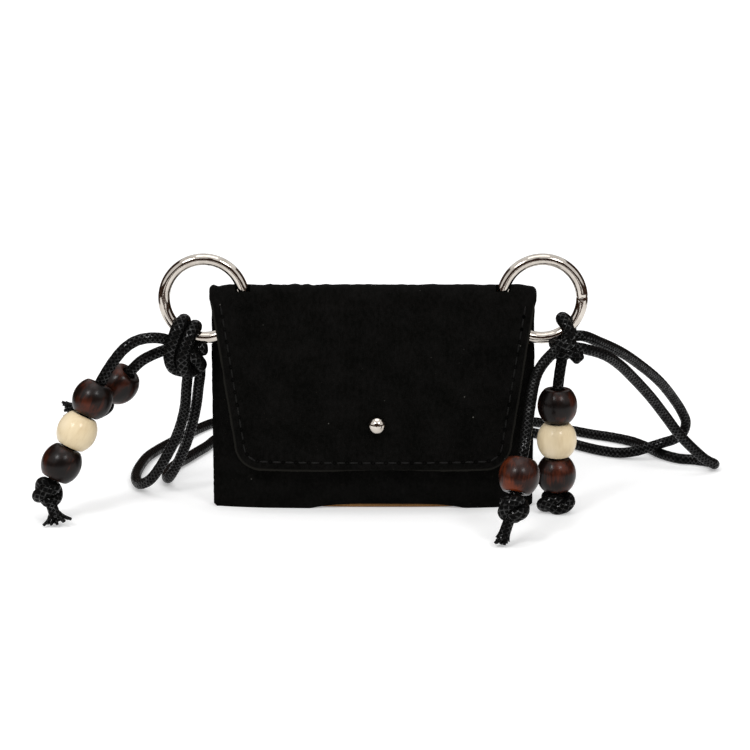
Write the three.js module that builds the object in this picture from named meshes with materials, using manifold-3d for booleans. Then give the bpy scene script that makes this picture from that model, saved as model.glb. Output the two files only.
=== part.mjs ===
// A small suede envelope pouch on a double braided cord strap, in millimetres.
// X runs along the width, the front faces -Y, and +Z is up. The pouch stands on z = 0.
import * as THREE from "three";
import { mergeVertices } from "three/addons/utils/BufferGeometryUtils.js";
import Module from "manifold-3d";

const wasm = await Module();
wasm.setup();

// Driving dimensions of the pouch
const pouchWidth = 100;
const pouchHeight = 71;
const suedeThickness = 1;
const liningThickness = 0.5;
const layerGap = 0.3;
const seamGap = 0.4;
const seamWidth = 2;
const bulgeDepth = 8.5;
const bulgeAtFoot = 0.15;
const bulgeLossAtMouth = 0.25;
const fullFromHeight = 22;
const fullToHeight = 36;
const footHeight = 3;
const mouthDrop = 19;
const liningInset = 0.5;
const liningFloorGap = 0.35;
const bottomArchShare = 0.6;
const bottomArchHeight = 1.3;

// Driving dimensions of the flap
const flapTopInset = 0.4;
const flapTaper = 0.155;
const flapBottomHeight = 14;
const flapCornerRadius = 8;
const flapBulgeDepth = 4.7;
const flapBulgeCentreShare = 0.48;
const hingeGap = 0.3;

// Driving dimensions of the closure stud
const studX = 1.2;
const studHeight = 29.2;
const ballRadius = 2.75;
const neckRadius = 1.3;
const neckLength = 1.4;
const flangeRadius = 2.8;
const flangeThickness = 0.5;
const shankRadius = 1.6;
const shankWall = 0.6;
const screwHeadRadius = 3.2;
const screwHeadThickness = 0.8;
const screwGap = 0.25;
const flapHoleGap = 0.5;

// Driving dimensions of the rings and the slots that they hang in
const ringRadius = 12.25;
const ringWireRadius = 1.8;
const ringOverhang = 1.9;
const ringRise = 0.9;
const ringGap = 0.4;
const slotGap = 0.35;
const slotEndGap = 0.5;

// Driving dimensions of the cord and what is strung on it
const cordDiameter = 3.4;
const beadRadius = 6.15;
const beadLength = 10.6;
const beadBoreRadius = 2.25;
const beadFaceShare = 0.62;
const beadGap = 0.35;
const endKnotRadius = 5;
const endKnotHalfLength = 4.2;
const frayedTipRadius = 2.1;
const strapSteps = [19, 18, 22, 22];
const tailSteps = 6;

// Where the ring's centre was when the cords' routes were laid out, and the heights between which
// a strap comes up off the floor
const routeRingX = 51.9;
const routeRingHeight = 66.8;
const strapLowBand = 5;
const strapHighBand = 42;

// Driving dimensions of the coil that takes up the rest of the strap
const coilCentreY = 72;
const coilMiddleRadius = 19;
const coilColumns = 3;
const coilRowsPerCord = 2;
const turnPitch = 3.5;
const tieThickness = 0.6;
const tieWidth = 6;
const tieGap = 0.3;
const tieSideGap = 0.5;

// Places that follow from the sizes above, from the back of the pouch to its front
const backOuterY = 3;
const backInnerY = backOuterY - suedeThickness;
const backLiningOuterY = backInnerY - layerGap;
const backLiningInnerY = backLiningOuterY - liningThickness;
const frontLiningInnerY = backLiningInnerY - seamGap;
const frontLiningOuterY = frontLiningInnerY - liningThickness;
const frontInnerY = frontLiningOuterY - layerGap;
const frontOuterY = frontInnerY - suedeThickness;
const ringBackY = frontOuterY - ringGap;
const ringY = ringBackY - ringWireRadius;
const ringFrontY = ringY - ringWireRadius;
const flapLiningInnerY = ringFrontY - ringGap;
const flapLiningOuterY = flapLiningInnerY - liningThickness;
const flapInnerY = flapLiningOuterY - layerGap;
const flapOuterY = flapInnerY - suedeThickness;
const foldRadius = (backOuterY - flapOuterY) / 2;
const foldCentreY = (backOuterY + flapOuterY) / 2;
const foldCentreHeight = pouchHeight - foldRadius;
const halfWidth = pouchWidth / 2;
const mouthHeight = pouchHeight - mouthDrop;
const bulgeHalfWidth = halfWidth - seamWidth;
const bottomArchHalfWidth = halfWidth * bottomArchShare;
const flapTopHalfWidth = halfWidth - flapTopInset;
const flapBulgeHalfWidth = halfWidth - 2 * seamWidth;
const flapBulgeCentreHeight = pouchHeight * flapBulgeCentreShare;
const ringCentreX = halfWidth + ringOverhang;
const ringCentreHeight = foldCentreHeight + ringRise;
const frontBulgeAtStud = bulge(studX, studHeight);
const studFlangeBackY = frontOuterY - frontBulgeAtStud - layerGap;
const ballCentreY = studFlangeBackY - flangeThickness - neckLength - ballRadius * 0.5;
const depthCentreY = (backOuterY + ballCentreY - ballRadius) / 2;
const coilHalfSpan = ((coilColumns + 1) * turnPitch) / 2;
const coilLow = tieThickness + tieGap;
const coilMiddle = coilLow + coilRowsPerCord * turnPitch;
const coilHigh = coilMiddle + coilRowsPerCord * turnPitch;

// Colours and finishes
const suedeLook = { color: 0x0c0c0b, roughness: 0.95, metalness: 0 };
const liningLook = { color: 0x7a5733, roughness: 0.8, metalness: 0 };
const nickelLook = { color: 0xc9c4bd, roughness: 0.18, metalness: 1 };
const cordLook = { color: 0x151514, roughness: 0.5, metalness: 0 };
const darkWoodLook = { color: 0x2a1512, roughness: 0.35, metalness: 0 };
const creamWoodLook = { color: 0xe6d4af, roughness: 0.4, metalness: 0 };

const pouch = new THREE.Group();
pouch.position.y = -depthCentreY;

function piece(name, geometry, look) {
  const mesh = new THREE.Mesh(geometry, new THREE.MeshStandardMaterial(look));
  mesh.name = name;
  pouch.add(mesh);
  return mesh;
}

// How far the filled front wall stands out from its seams at a point of the wall
function bulge(x, z) {
  const across = Math.max(0, 1 - (Math.abs(x) / bulgeHalfWidth) ** 4);
  const height = Math.max(z, footHeight);
  let up = 1;
  if (height < fullFromHeight) {
    const rise = Math.sin((Math.PI / 2) * (height / fullFromHeight));
    up = bulgeAtFoot + (1 - bulgeAtFoot) * rise;
  } else if (height > fullToHeight) {
    up = 1 - bulgeLossAtMouth * ((height - fullToHeight) / (mouthHeight - fullToHeight)) ** 2;
  }
  return bulgeDepth * across * up;
}

// How far the flap stands out over the filled front wall
function flapBulge(x, z) {
  const across = Math.max(0, 1 - (Math.abs(x) / flapBulgeHalfWidth) ** 3.4);
  const reach = foldCentreHeight - flapBulgeCentreHeight;
  const up = 1 - (Math.max(0, z - flapBulgeCentreHeight) / reach) ** 2;
  return flapBulgeDepth * across * Math.max(0, up);
}

// Merges doubled corners so that a mesh is one closed body
function closed(geometry) {
  const bare = new THREE.BufferGeometry();
  bare.setAttribute("position", geometry.getAttribute("position").clone());
  if (geometry.index) {
    bare.setIndex(geometry.index.clone());
  }
  return mergeVertices(bare, 1e-4);
}

function solid(geometry) {
  const mesh = closed(geometry);
  return new wasm.Manifold(
    new wasm.Mesh({
      numProp: 3,
      vertProperties: new Float32Array(mesh.getAttribute("position").array),
      triVerts: new Uint32Array(mesh.index.array),
    }),
  );
}

function surface(manifold) {
  const mesh = manifold.getMesh();
  const geometry = new THREE.BufferGeometry();
  geometry.setAttribute("position", new THREE.BufferAttribute(mesh.vertProperties, 3));
  geometry.setIndex(new THREE.BufferAttribute(mesh.triVerts, 1));
  return geometry;
}

// A thin closed wall between two grids of points: place(u, v, side) gives a point of side 0 or 1
function wall(across, along, place) {
  const points = [];
  const index = [];
  const at = (side, i, j) => side * across.length * along.length + i * along.length + j;
  for (const side of [0, 1]) {
    for (const u of across) {
      for (const v of along) {
        points.push(...place(u, v, side));
      }
    }
  }
  const quad = (a, b, c, d) => index.push(a, b, c, a, c, d);
  const lastI = across.length - 1;
  const lastJ = along.length - 1;
  for (let i = 0; i < lastI; i += 1) {
    for (let j = 0; j < lastJ; j += 1) {
      quad(at(0, i, j), at(0, i, j + 1), at(0, i + 1, j + 1), at(0, i + 1, j));
      quad(at(1, i, j), at(1, i + 1, j), at(1, i + 1, j + 1), at(1, i, j + 1));
    }
    quad(at(0, i, 0), at(0, i + 1, 0), at(1, i + 1, 0), at(1, i, 0));
    quad(at(0, i, lastJ), at(1, i, lastJ), at(1, i + 1, lastJ), at(0, i + 1, lastJ));
  }
  for (let j = 0; j < lastJ; j += 1) {
    quad(at(0, 0, j), at(1, 0, j), at(1, 0, j + 1), at(0, 0, j + 1));
    quad(at(0, lastI, j), at(0, lastI, j + 1), at(1, lastI, j + 1), at(1, lastI, j));
  }
  const geometry = new THREE.BufferGeometry();
  geometry.setAttribute("position", new THREE.Float32BufferAttribute(points, 3));
  geometry.setIndex(index);
  return facingOut(geometry);
}

// Turns a closed mesh's faces round if they point in
function facingOut(geometry) {
  const place = geometry.getAttribute("position");
  const index = geometry.index.array;
  const corner = [new THREE.Vector3(), new THREE.Vector3(), new THREE.Vector3()];
  let volume = 0;
  for (let i = 0; i < index.length; i += 3) {
    corner.forEach((point, k) => point.fromBufferAttribute(place, index[i + k]));
    volume += corner[0].dot(corner[1].clone().cross(corner[2]));
  }
  if (volume < 0) {
    for (let i = 0; i < index.length; i += 3) {
      [index[i + 1], index[i + 2]] = [index[i + 2], index[i + 1]];
    }
  }
  return geometry;
}

function spaced(from, to, count) {
  return Array.from({ length: count + 1 }, (_, i) => from + ((to - from) * i) / count);
}

// A round bar at the stud that runs forward from the pocket's back half, for cutting holes
function studBar(radius) {
  const length = pouchHeight;
  const bar = new THREE.CylinderGeometry(radius, radius, length, 24);
  bar.translate(studX, frontLiningInnerY - length / 2, studHeight);
  return solid(bar);
}

// The slots in the fold, one for each ring
function foldSlots() {
  const wireFromEdge = ringCentreX - ringRadius - ringWireRadius;
  const low = foldCentreHeight + hingeGap / 2 + slotEndGap;
  const high = pouchHeight + suedeThickness;
  const depth = 2 * (ringWireRadius + slotGap);
  const rise = pouchHeight - ringCentreHeight;
  const lean = ringRadius - Math.sqrt(ringRadius ** 2 - rise ** 2);
  const length = depth + lean + slotEndGap;
  const cuts = [-1, 1].map((side) => {
    const box = new THREE.BoxGeometry(length, depth, high - low);
    const middle = wireFromEdge - slotGap + length / 2;
    box.translate(side * middle, ringY, (low + high) / 2);
    return solid(box);
  });
  return cuts[0].add(cuts[1]);
}

// The back panel and the fold over the top are one piece of suede
function backPanel() {
  const insideRadius = foldRadius - suedeThickness;
  const outsideEnd = Math.PI - Math.asin(hingeGap / 2 / foldRadius);
  const insideEnd = Math.PI - Math.asin(hingeGap / 2 / insideRadius);
  const section = new THREE.Shape();
  section.moveTo(backOuterY, 0);
  section.lineTo(backOuterY, foldCentreHeight);
  section.absarc(foldCentreY, foldCentreHeight, foldRadius, 0, outsideEnd, false);
  section.absarc(foldCentreY, foldCentreHeight, insideRadius, insideEnd, 0, true);
  section.lineTo(backInnerY, 0);
  const geometry = new THREE.ExtrudeGeometry(section, {
    depth: pouchWidth,
    bevelEnabled: false,
    curveSegments: 10,
  });
  geometry.rotateX(Math.PI / 2);
  geometry.rotateZ(Math.PI / 2);
  geometry.translate(-halfWidth, 0, 0);
  return surface(solid(facingOut(closed(geometry))).subtract(foldSlots()));
}

const acrossPouch = spaced(-1, 1, 12);
const frontWallRows = [1, 0.81, 0.65, 0.48, 0.35, 0.23, 0.135].map((t) => t * mouthHeight);

function frontPanel() {
  const rows = [...frontWallRows, footHeight, 0];
  const geometry = wall(acrossPouch, rows, (u, v, side) => {
    const x = u * halfWidth;
    const lift = Math.max(0, bottomArchHeight * (1 - (x / bottomArchHalfWidth) ** 2));
    const z = v === 0 ? lift : v;
    return [x, (side ? frontInnerY : frontOuterY) - bulge(x, z), z];
  });
  return surface(solid(geometry).subtract(studBar(shankRadius + layerGap)));
}

// One folded strip: up the front wall, round the bottom, up the back wall and under the fold
function pocketLining() {
  const halfLining = liningThickness / 2;
  const backMiddleY = backLiningInnerY + halfLining;
  const frontMiddleY = frontLiningOuterY + halfLining;
  const lowestMiddle = liningFloorGap + halfLining;
  const archRadius = foldRadius - suedeThickness - layerGap - halfLining;
  const archShare = 0.94;
  const stations = [
    ...[...frontWallRows, footHeight + seamGap].map((z) => ["front", z]),
    ...spaced(0, 1, 4).map((t) => ["turn", t]),
    ...spaced(2 * footHeight, foldCentreHeight - 4 * footHeight, 3).map((z) => ["back", z]),
    ...spaced(0, archShare, 6).map((t) => ["arch", t]),
  ];
  const geometry = wall(acrossPouch, stations, (u, [kind, v], side) => {
    const x = u * (halfWidth - liningInset);
    const off = side ? halfLining : -halfLining;
    if (kind === "front") {
      return [x, frontMiddleY - bulge(x, v) - off, v];
    }
    if (kind === "back") {
      return [x, backMiddleY + off, v];
    }
    if (kind === "arch") {
      const angle = Math.PI * v;
      const reach = archRadius + off;
      return [x, foldCentreY + reach * Math.cos(angle), foldCentreHeight + reach * Math.sin(angle)];
    }
    const frontY = frontMiddleY - bulge(x, 0);
    const radius = (backMiddleY - frontY) / 2;
    const angle = Math.PI * (1 + v);
    const reach = radius + off;
    const middleY = (backMiddleY + frontY) / 2;
    const middleZ = lowestMiddle + radius;
    return [x, middleY + reach * Math.cos(angle), middleZ + reach * Math.sin(angle)];
  });
  return surface(solid(geometry).subtract(studBar(shankRadius + layerGap)).subtract(foldSlots()));
}

// Half the flap's width at a height, with its rounded lower corners
function flapHalfWidth(z) {
  const straight = (height) => flapTopHalfWidth - flapTaper * (foldCentreHeight - height);
  const cornerTop = flapBottomHeight + flapCornerRadius;
  if (z >= cornerTop) {
    return straight(z);
  }
  const down = cornerTop - z;
  const inset = flapCornerRadius - Math.sqrt(Math.max(0, flapCornerRadius ** 2 - down ** 2));
  return straight(cornerTop) - inset;
}

function flapLayer(innerY, outerY) {
  const top = foldCentreHeight - hingeGap / 2;
  const corner = spaced(0, Math.PI / 2, 5).map(
    (angle) => flapBottomHeight + flapCornerRadius * (1 - Math.sin(angle)),
  );
  const rows = [...spaced(top, corner[0], 7).slice(0, -1), ...corner];
  const geometry = wall(acrossPouch, rows, (u, z, side) => {
    const x = u * flapHalfWidth(z);
    return [x, (side ? innerY : outerY) - flapBulge(x, z), z];
  });
  return surface(solid(geometry).subtract(studBar(ballRadius + flapHoleGap)));
}

// The ball, neck, flange and hollow shank are turned as one piece, along +Z before they are placed
function closureStud() {
  const ball = -ballRadius;
  const neckStart = ballRadius * 0.5;
  const flangeStart = neckStart + neckLength;
  const flangeEnd = flangeStart + flangeThickness;
  const shankLength = layerGap + suedeThickness + layerGap + liningThickness;
  const shankEnd = flangeEnd + shankLength;
  const profile = spaced(0, 1, 6).map((t) => {
    const angle = t * (Math.PI - Math.asin(neckRadius / ballRadius));
    return new THREE.Vector2(ballRadius * Math.sin(angle), -ballRadius * Math.cos(angle));
  });
  profile[0].set(0, ball);
  profile.push(
    new THREE.Vector2(neckRadius, flangeStart),
    new THREE.Vector2(flangeRadius, flangeStart),
    new THREE.Vector2(flangeRadius, flangeEnd),
    new THREE.Vector2(shankRadius, flangeEnd),
    new THREE.Vector2(shankRadius, shankEnd),
    new THREE.Vector2(shankRadius - shankWall, shankEnd),
    new THREE.Vector2(shankRadius - shankWall, flangeEnd),
    new THREE.Vector2(0, flangeEnd),
  );
  return facingOut(closed(new THREE.LatheGeometry(profile, 16)));
}

function studScrew() {
  const pinRadius = shankRadius - shankWall - screwGap;
  const pinLength = suedeThickness + layerGap + liningThickness;
  const profile = [
    new THREE.Vector2(0, 0),
    new THREE.Vector2(pinRadius, 0),
    new THREE.Vector2(pinRadius, pinLength),
    new THREE.Vector2(screwHeadRadius, pinLength),
    new THREE.Vector2(screwHeadRadius, pinLength + screwHeadThickness),
    new THREE.Vector2(0, pinLength + screwHeadThickness),
  ];
  return facingOut(closed(new THREE.LatheGeometry(profile, 16)));
}

piece("back_panel", backPanel(), suedeLook);
piece("pocket_lining", pocketLining(), liningLook);
piece("front_panel", frontPanel(), suedeLook);
piece("flap", flapLayer(flapInnerY, flapOuterY), suedeLook);
piece("flap_lining", flapLayer(flapLiningInnerY, flapLiningOuterY), liningLook);
piece("closure_stud", closureStud(), nickelLook).position.set(studX, ballCentreY, studHeight);
const screwStartY = studFlangeBackY + layerGap + layerGap;
piece("stud_screw", studScrew(), nickelLook).position.set(studX, screwStartY, studHeight);

// Nickel rings through the slots in the fold
for (const [name, side] of [["ring_left", -1], ["ring_right", 1]]) {
  const torus = closed(new THREE.TorusGeometry(ringRadius, ringWireRadius, 8, 32));
  const ring = piece(name, torus, nickelLook);
  ring.rotation.x = Math.PI / 2;
  ring.position.set(side * ringCentreX, ringY, ringCentreHeight);
}

// The knots that tie the cord round each ring, with the ring's own path cut clear through them
function ringKnot(side, outward, down, size) {
  const lump = new THREE.SphereGeometry(1, 16, 10);
  lump.scale(...size);
  lump.translate(side * (ringCentreX + outward), ringY, ringCentreHeight - down);
  const path = new THREE.TorusGeometry(ringRadius, ringWireRadius + layerGap, 10, 36);
  path.rotateX(Math.PI / 2);
  path.translate(side * ringCentreX, ringY, ringCentreHeight);
  return surface(solid(lump).subtract(solid(path)));
}

piece("ring_knot_left", ringKnot(-1, 5.5, 14.9, [6.7, 6, 9.3]), cordLook);
piece("ring_knot_right", ringKnot(1, 6.5, 11.6, [5.4, 5.6, 7.4]), cordLook);

// Carries a hand-placed point of a cord along with its ring, by a share of how far the ring moved
function carried([x, y, z], share) {
  const outward = (ringCentreX - routeRingX) * share;
  const up = (ringCentreHeight - routeRingHeight) * share;
  return [x + Math.sign(x) * outward, y, z + up];
}

// A strap follows its ring fully at the knot and not at all on the floor
function strap(points, steps) {
  const share = (z) => Math.min(1, Math.max(0, (z - strapLowBand) / (strapHighBand - strapLowBand)));
  return tube(points.map((point) => carried(point, share(point[2]))), steps);
}

// A round tube through hand-placed points, no finer than its step count
function tube(points, steps) {
  const section = new THREE.Shape();
  for (let i = 0; i < 8; i += 1) {
    const angle = ((i + 0.5) * Math.PI) / 4;
    const corner = [(cordDiameter / 2) * Math.cos(angle), (cordDiameter / 2) * Math.sin(angle)];
    if (i === 0) {
      section.moveTo(...corner);
    } else {
      section.lineTo(...corner);
    }
  }
  const route = new THREE.CatmullRomCurve3(points.map((p) => new THREE.Vector3(...p)), false, "centripetal");
  const geometry = new THREE.ExtrudeGeometry(section, { steps, bevelEnabled: false, extrudePath: route });
  return facingOut(closed(geometry));
}

// The strap: cord A lies at the back and at the bottom of the coil, cord B in front of it and on top
const strapALeft = [
  [-57.5, -0.3, 43.1], [-58.2, 1.4, 37], [-58.8, 3, 31.4], [-60.2, 4.4, 25.6], [-62.3, 6, 19.9],
  [-64.8, 7.5, 14.9], [-67.6, 9.2, 9.9], [-71.2, 12, 4.9], [-74.8, 17, 2.2], [-76.8, 24, 1.8],
  [-77.4, 32, 1.7], [-77, 42, 1.7], [-75.6, 53, 1.7], [-73, 62, 1.7], [-69.6, 71, 1.7],
  [-65, 82, 1.7], [-60.8, 92, 1.7], [-55.5, 100.5, 1.7], [-48.5, 104.6, 1.7], [-40, 104.8, 1.7],
  [-28, 102.2, 1.9], [-18, 100.2, 2.3], [-8.3, 98.3, 2.6],
];
const strapBLeft = [
  [-53.7, -0.2, 43.8], [-54.6, 3.2, 37], [-55.5, 5.8, 31], [-57, 8.6, 24.5], [-59, 11.6, 18],
  [-61.4, 14.4, 12], [-64, 17.6, 6.6], [-66.2, 22.4, 2.7], [-67.2, 28, 1.9], [-67, 35, 1.8],
  [-65.4, 42.5, 1.75], [-62.6, 50, 1.75], [-59.4, 59, 1.75], [-56.6, 67, 1.75], [-54.6, 75, 1.75],
  [-51.6, 82, 1.75], [-46.6, 87, 1.9], [-40, 89.6, 3], [-33, 91, 5.4], [-25.4, 92.2, 8.3],
  [-17.3, 93.6, 9.7],
];
const strapARight = [
  [10.1, 97.8, 6], [20, 99.1, 4.8], [30, 100.4, 3], [40, 101.4, 1.9], [50, 102, 1.7],
  [58.5, 99.9, 1.7], [65.6, 92, 1.7], [75.8, 83.3, 1.7], [82.3, 79.1, 1.7], [88.7, 73.3, 1.7],
  [93.3, 65.3, 1.7], [97.3, 56.2, 1.7], [102.4, 50.3, 1.7], [107.6, 48.6, 1.7], [112.2, 45.6, 1.7],
  [112.8, 40.6, 2.4], [109, 37, 5.2], [104.2, 34, 9.9], [99.6, 31.6, 15], [94.8, 28.6, 21.6],
  [89.3, 23, 29.2], [82.8, 15.4, 37.2], [77, 8, 43.7], [71.4, 1.4, 48.3], [64.2, -4.2, 51.4],
];
const strapBRight = [
  [15.6, 94.8, 13.1], [26, 93.6, 10.6], [36, 92.2, 6.2], [45, 90.5, 2.8], [51, 88.2, 1.8],
  [57.5, 83.4, 1.7], [64.4, 75, 1.7], [72.2, 65.6, 1.7], [77.5, 60.6, 1.7], [83.3, 57, 1.9],
  [88.6, 55.6, 2.9], [93.4, 55.6, 4.4], [97.6, 56.6, 5.5], [101.8, 58.4, 6.4], [104.8, 60, 8.4],
  [105.6, 60.4, 11.6], [104, 58.6, 15.6], [100.4, 54, 21.4], [94.5, 44, 29.5], [86.2, 30, 38.4],
  [78.7, 18, 45.3], [71, 7, 50.8], [64.4, -1.1, 54.7],
];
piece("strap_a_left", strap(strapALeft, strapSteps[0]), cordLook);
piece("strap_b_left", strap(strapBLeft, strapSteps[1]), cordLook);
piece("strap_a_right", strap(strapARight, strapSteps[2]), cordLook);
piece("strap_b_right", strap(strapBRight, strapSteps[3]), cordLook);

// The outer shape of each cord's turns in the coil, as a ring with bevelled edges
function coilRing(low, high) {
  const inner = coilMiddleRadius - coilHalfSpan;
  const outer = coilMiddleRadius + coilHalfSpan;
  const bevel = 1;
  const profile = [
    new THREE.Vector2(inner + bevel, low),
    new THREE.Vector2(outer - bevel, low),
    new THREE.Vector2(outer, low + bevel),
    new THREE.Vector2(outer, high - bevel),
    new THREE.Vector2(outer - bevel, high),
    new THREE.Vector2(inner + bevel, high),
    new THREE.Vector2(inner, high - bevel),
    new THREE.Vector2(inner, low + bevel),
    new THREE.Vector2(inner + bevel, low),
  ];
  const geometry = new THREE.LatheGeometry(profile, 32);
  geometry.rotateX(Math.PI / 2);
  geometry.translate(0, coilCentreY, 0);
  return facingOut(closed(geometry));
}

piece("coil_a", coilRing(coilLow, coilMiddle - tieGap / 2), cordLook);
piece("coil_b", coilRing(coilMiddle + tieGap / 2, coilHigh), cordLook);

// A flat tie round both bundles of turns
function coilTie() {
  const halfSpan = coilHalfSpan + tieSideGap;
  const outerHalf = halfSpan + tieThickness;
  const insideTop = coilHigh + tieGap;
  const outline = new THREE.Shape();
  outline.moveTo(-outerHalf, 0);
  outline.lineTo(outerHalf, 0);
  outline.lineTo(outerHalf, insideTop + tieThickness);
  outline.lineTo(-outerHalf, insideTop + tieThickness);
  const inside = new THREE.Path();
  inside.moveTo(-halfSpan, tieThickness);
  inside.lineTo(-halfSpan, insideTop);
  inside.lineTo(halfSpan, insideTop);
  inside.lineTo(halfSpan, tieThickness);
  outline.holes.push(inside);
  const geometry = new THREE.ExtrudeGeometry(outline, { depth: tieWidth, bevelEnabled: false });
  geometry.rotateX(Math.PI / 2);
  geometry.translate(coilMiddleRadius, coilCentreY + tieWidth / 2, 0);
  return facingOut(closed(geometry));
}
piece("coil_tie", coilTie(), cordLook);

// A turned wooden bead with a bore along its axis
function bead() {
  const half = beadLength / 2;
  const outside = spaced(-1, 1, 6).map((t) => {
    const radius = beadRadius * Math.sqrt(1 - (1 - beadFaceShare ** 2) * t ** 2);
    return new THREE.Vector2(radius, t * half);
  });
  const profile = [
    new THREE.Vector2(beadBoreRadius, -half),
    ...outside,
    new THREE.Vector2(beadBoreRadius, half),
    new THREE.Vector2(beadBoreRadius, -half),
  ];
  return facingOut(closed(new THREE.LatheGeometry(profile, 16)));
}

// An end knot with the cord's cut tip standing out of it towards a point
function endKnot(centre, axis, size, tip) {
  const lump = new THREE.SphereGeometry(1, 12, 8);
  lump.rotateX(Math.PI / 2);
  lump.scale(...size);
  lump.applyQuaternion(new THREE.Quaternion().setFromUnitVectors(new THREE.Vector3(0, 0, -1), axis));
  lump.translate(...centre.toArray());
  if (!tip) {
    return facingOut(closed(lump));
  }
  const tail = tip.clone().sub(centre);
  const stub = new THREE.CylinderGeometry(frayedTipRadius, cordDiameter / 2, tail.length(), 8);
  stub.translate(0, tail.length() / 2, 0);
  stub.applyQuaternion(
    new THREE.Quaternion().setFromUnitVectors(new THREE.Vector3(0, 1, 0), tail.clone().normalize()),
  );
  stub.translate(...centre.toArray());
  return surface(solid(lump).add(solid(stub)));
}

// Each tail: its cord's route down to the first bead, the beads' line, and its end knot
const tails = [
  {
    name: "tail_left_long",
    route: [
      [-63.4, -6, 54.5], [-68.2, -8, 55.5], [-72.5, -9.3, 54.8], [-76, -10.2, 52.6],
      [-79.2, -10.6, 48.9], [-81.8, -11, 45],
    ],
    firstBead: [-85.9, -12, 37.2],
    down: [-0.437, -0.18, -0.88],
    beads: ["bead_left_1", "bead_left_2", "bead_left_3"],
    cream: 1,
    knotSize: [endKnotRadius, endKnotRadius, endKnotHalfLength],
    tip: [-96.6, -23.4, 2.2],
  },
  {
    name: "tail_left_short",
    route: [[-64.3, -1.6, 50.3], [-68.4, -1.2, 48.6], [-71.8, -0.5, 46.6], [-74.4, 0.3, 44.1]],
    firstBead: [-79.2, 1.6, 38.8],
    down: [-0.66, 0.19, -0.73],
    beads: ["bead_left_4"],
    cream: -1,
    knotSize: [endKnotRadius * 0.9, endKnotRadius * 0.9, endKnotHalfLength],
    tip: [-95, 5, 29.8],
  },
  {
    name: "tail_right_long",
    route: [[58.1, -5.9, 48.3], [57.3, -7.4, 43.8], [56.9, -8, 40.5]],
    firstBead: [56.8, -8, 34.25],
    down: [0, 0, -1],
    beads: ["bead_right_1", "bead_right_2", "bead_right_3"],
    cream: 1,
    knotSize: [5.8, endKnotRadius, 3.25],
    tip: null,
  },
  {
    name: "tail_right_short",
    route: [
      [56.2, -8.2, 51.9], [52.2, -12.6, 48.9], [50, -16, 46.4], [48.6, -20, 43.6],
      [47.7, -24, 40.6], [46.8, -28, 37], [46, -31.7, 33], [45.1, -34.9, 28.4],
    ],
    firstBead: [43.4, -38.6, 20.2],
    down: [-0.192, -0.405, -0.895],
    beads: ["bead_right_4"],
    cream: -1,
    knotSize: [endKnotRadius, endKnotRadius, endKnotHalfLength],
    tip: [38.4, -44.2, 2.2],
  },
];

for (const tail of tails) {
  const axis = new THREE.Vector3(...tail.down).normalize();
  const first = new THREE.Vector3(...carried(tail.firstBead, 1));
  const pitch = beadLength + beadGap;
  tail.beads.forEach((name, i) => {
    const look = i === tail.cream ? creamWoodLook : darkWoodLook;
    const mesh = piece(name, bead(), look);
    mesh.quaternion.setFromUnitVectors(new THREE.Vector3(0, 1, 0), axis);
    mesh.position.copy(first).addScaledVector(axis, i * pitch);
  });
  const lastFace = (tail.beads.length - 1) * pitch + beadLength / 2;
  const alongAxis = (distance) => first.clone().addScaledVector(axis, distance).toArray();
  const hung = tail.route.map((point) => carried(point, 1));
  const route = [...hung, alongAxis(-beadLength / 2), alongAxis(lastFace)];
  piece(tail.name, tube(route, tailSteps), cordLook);
  const knotCentre = first.clone().addScaledVector(axis, lastFace + beadGap + tail.knotSize[2]);
  const tip = tail.tip ? new THREE.Vector3(...carried(tail.tip, 1)) : null;
  piece(`${tail.name}_knot`, endKnot(knotCentre, axis, tail.knotSize, tip), cordLook);
}

export default pouch;
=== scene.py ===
# %% [markdown]
# A small suede envelope pouch on a double cord strap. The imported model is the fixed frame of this
# lesson: it holds every size and every moving body. Everything below is measured in metres in that
# frame, so a piece is modelled where it belongs and never fitted afterwards.

# %% Load the frame
import math

import bpy
import numpy as np
from mathutils import Matrix, Vector, noise


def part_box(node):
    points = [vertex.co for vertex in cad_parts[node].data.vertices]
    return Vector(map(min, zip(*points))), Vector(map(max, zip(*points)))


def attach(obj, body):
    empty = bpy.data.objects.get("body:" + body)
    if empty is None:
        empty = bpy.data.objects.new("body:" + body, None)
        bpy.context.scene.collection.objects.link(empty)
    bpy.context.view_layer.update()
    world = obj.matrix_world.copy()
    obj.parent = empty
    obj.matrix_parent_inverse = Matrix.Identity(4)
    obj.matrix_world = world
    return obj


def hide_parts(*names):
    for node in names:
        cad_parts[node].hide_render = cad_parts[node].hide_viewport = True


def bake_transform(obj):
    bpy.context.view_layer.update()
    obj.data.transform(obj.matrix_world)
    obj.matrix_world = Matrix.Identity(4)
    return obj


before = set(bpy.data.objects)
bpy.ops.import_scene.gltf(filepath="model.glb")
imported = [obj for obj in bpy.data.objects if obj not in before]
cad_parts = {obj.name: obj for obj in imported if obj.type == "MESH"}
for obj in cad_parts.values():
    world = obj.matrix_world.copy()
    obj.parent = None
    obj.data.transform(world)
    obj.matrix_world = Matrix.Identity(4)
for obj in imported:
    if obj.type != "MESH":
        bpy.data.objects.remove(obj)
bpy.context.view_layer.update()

pouch_width = 0.100
back_outer_y = 0.003
depth_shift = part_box("back_panel")[1].y - back_outer_y

# %% [markdown]
# The places in this lesson are chosen from the pouch's own plane, so that its back lies at y = 0.003.
# The frame's origin lies a few millimetres in front of it, and one small function adds the difference.

# %% Place points
def placed(points):
    """Points that are measured from the pouch's own plane, in the frame."""
    return np.asarray(points, float).reshape(-1, 3) + (0, depth_shift, 0)


# %% [markdown]
# The photograph looks at the pouch from just above, with its front square to the lens. A long lens
# keeps the sides parallel. The camera is placed on a line from the middle of the picture.

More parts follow.
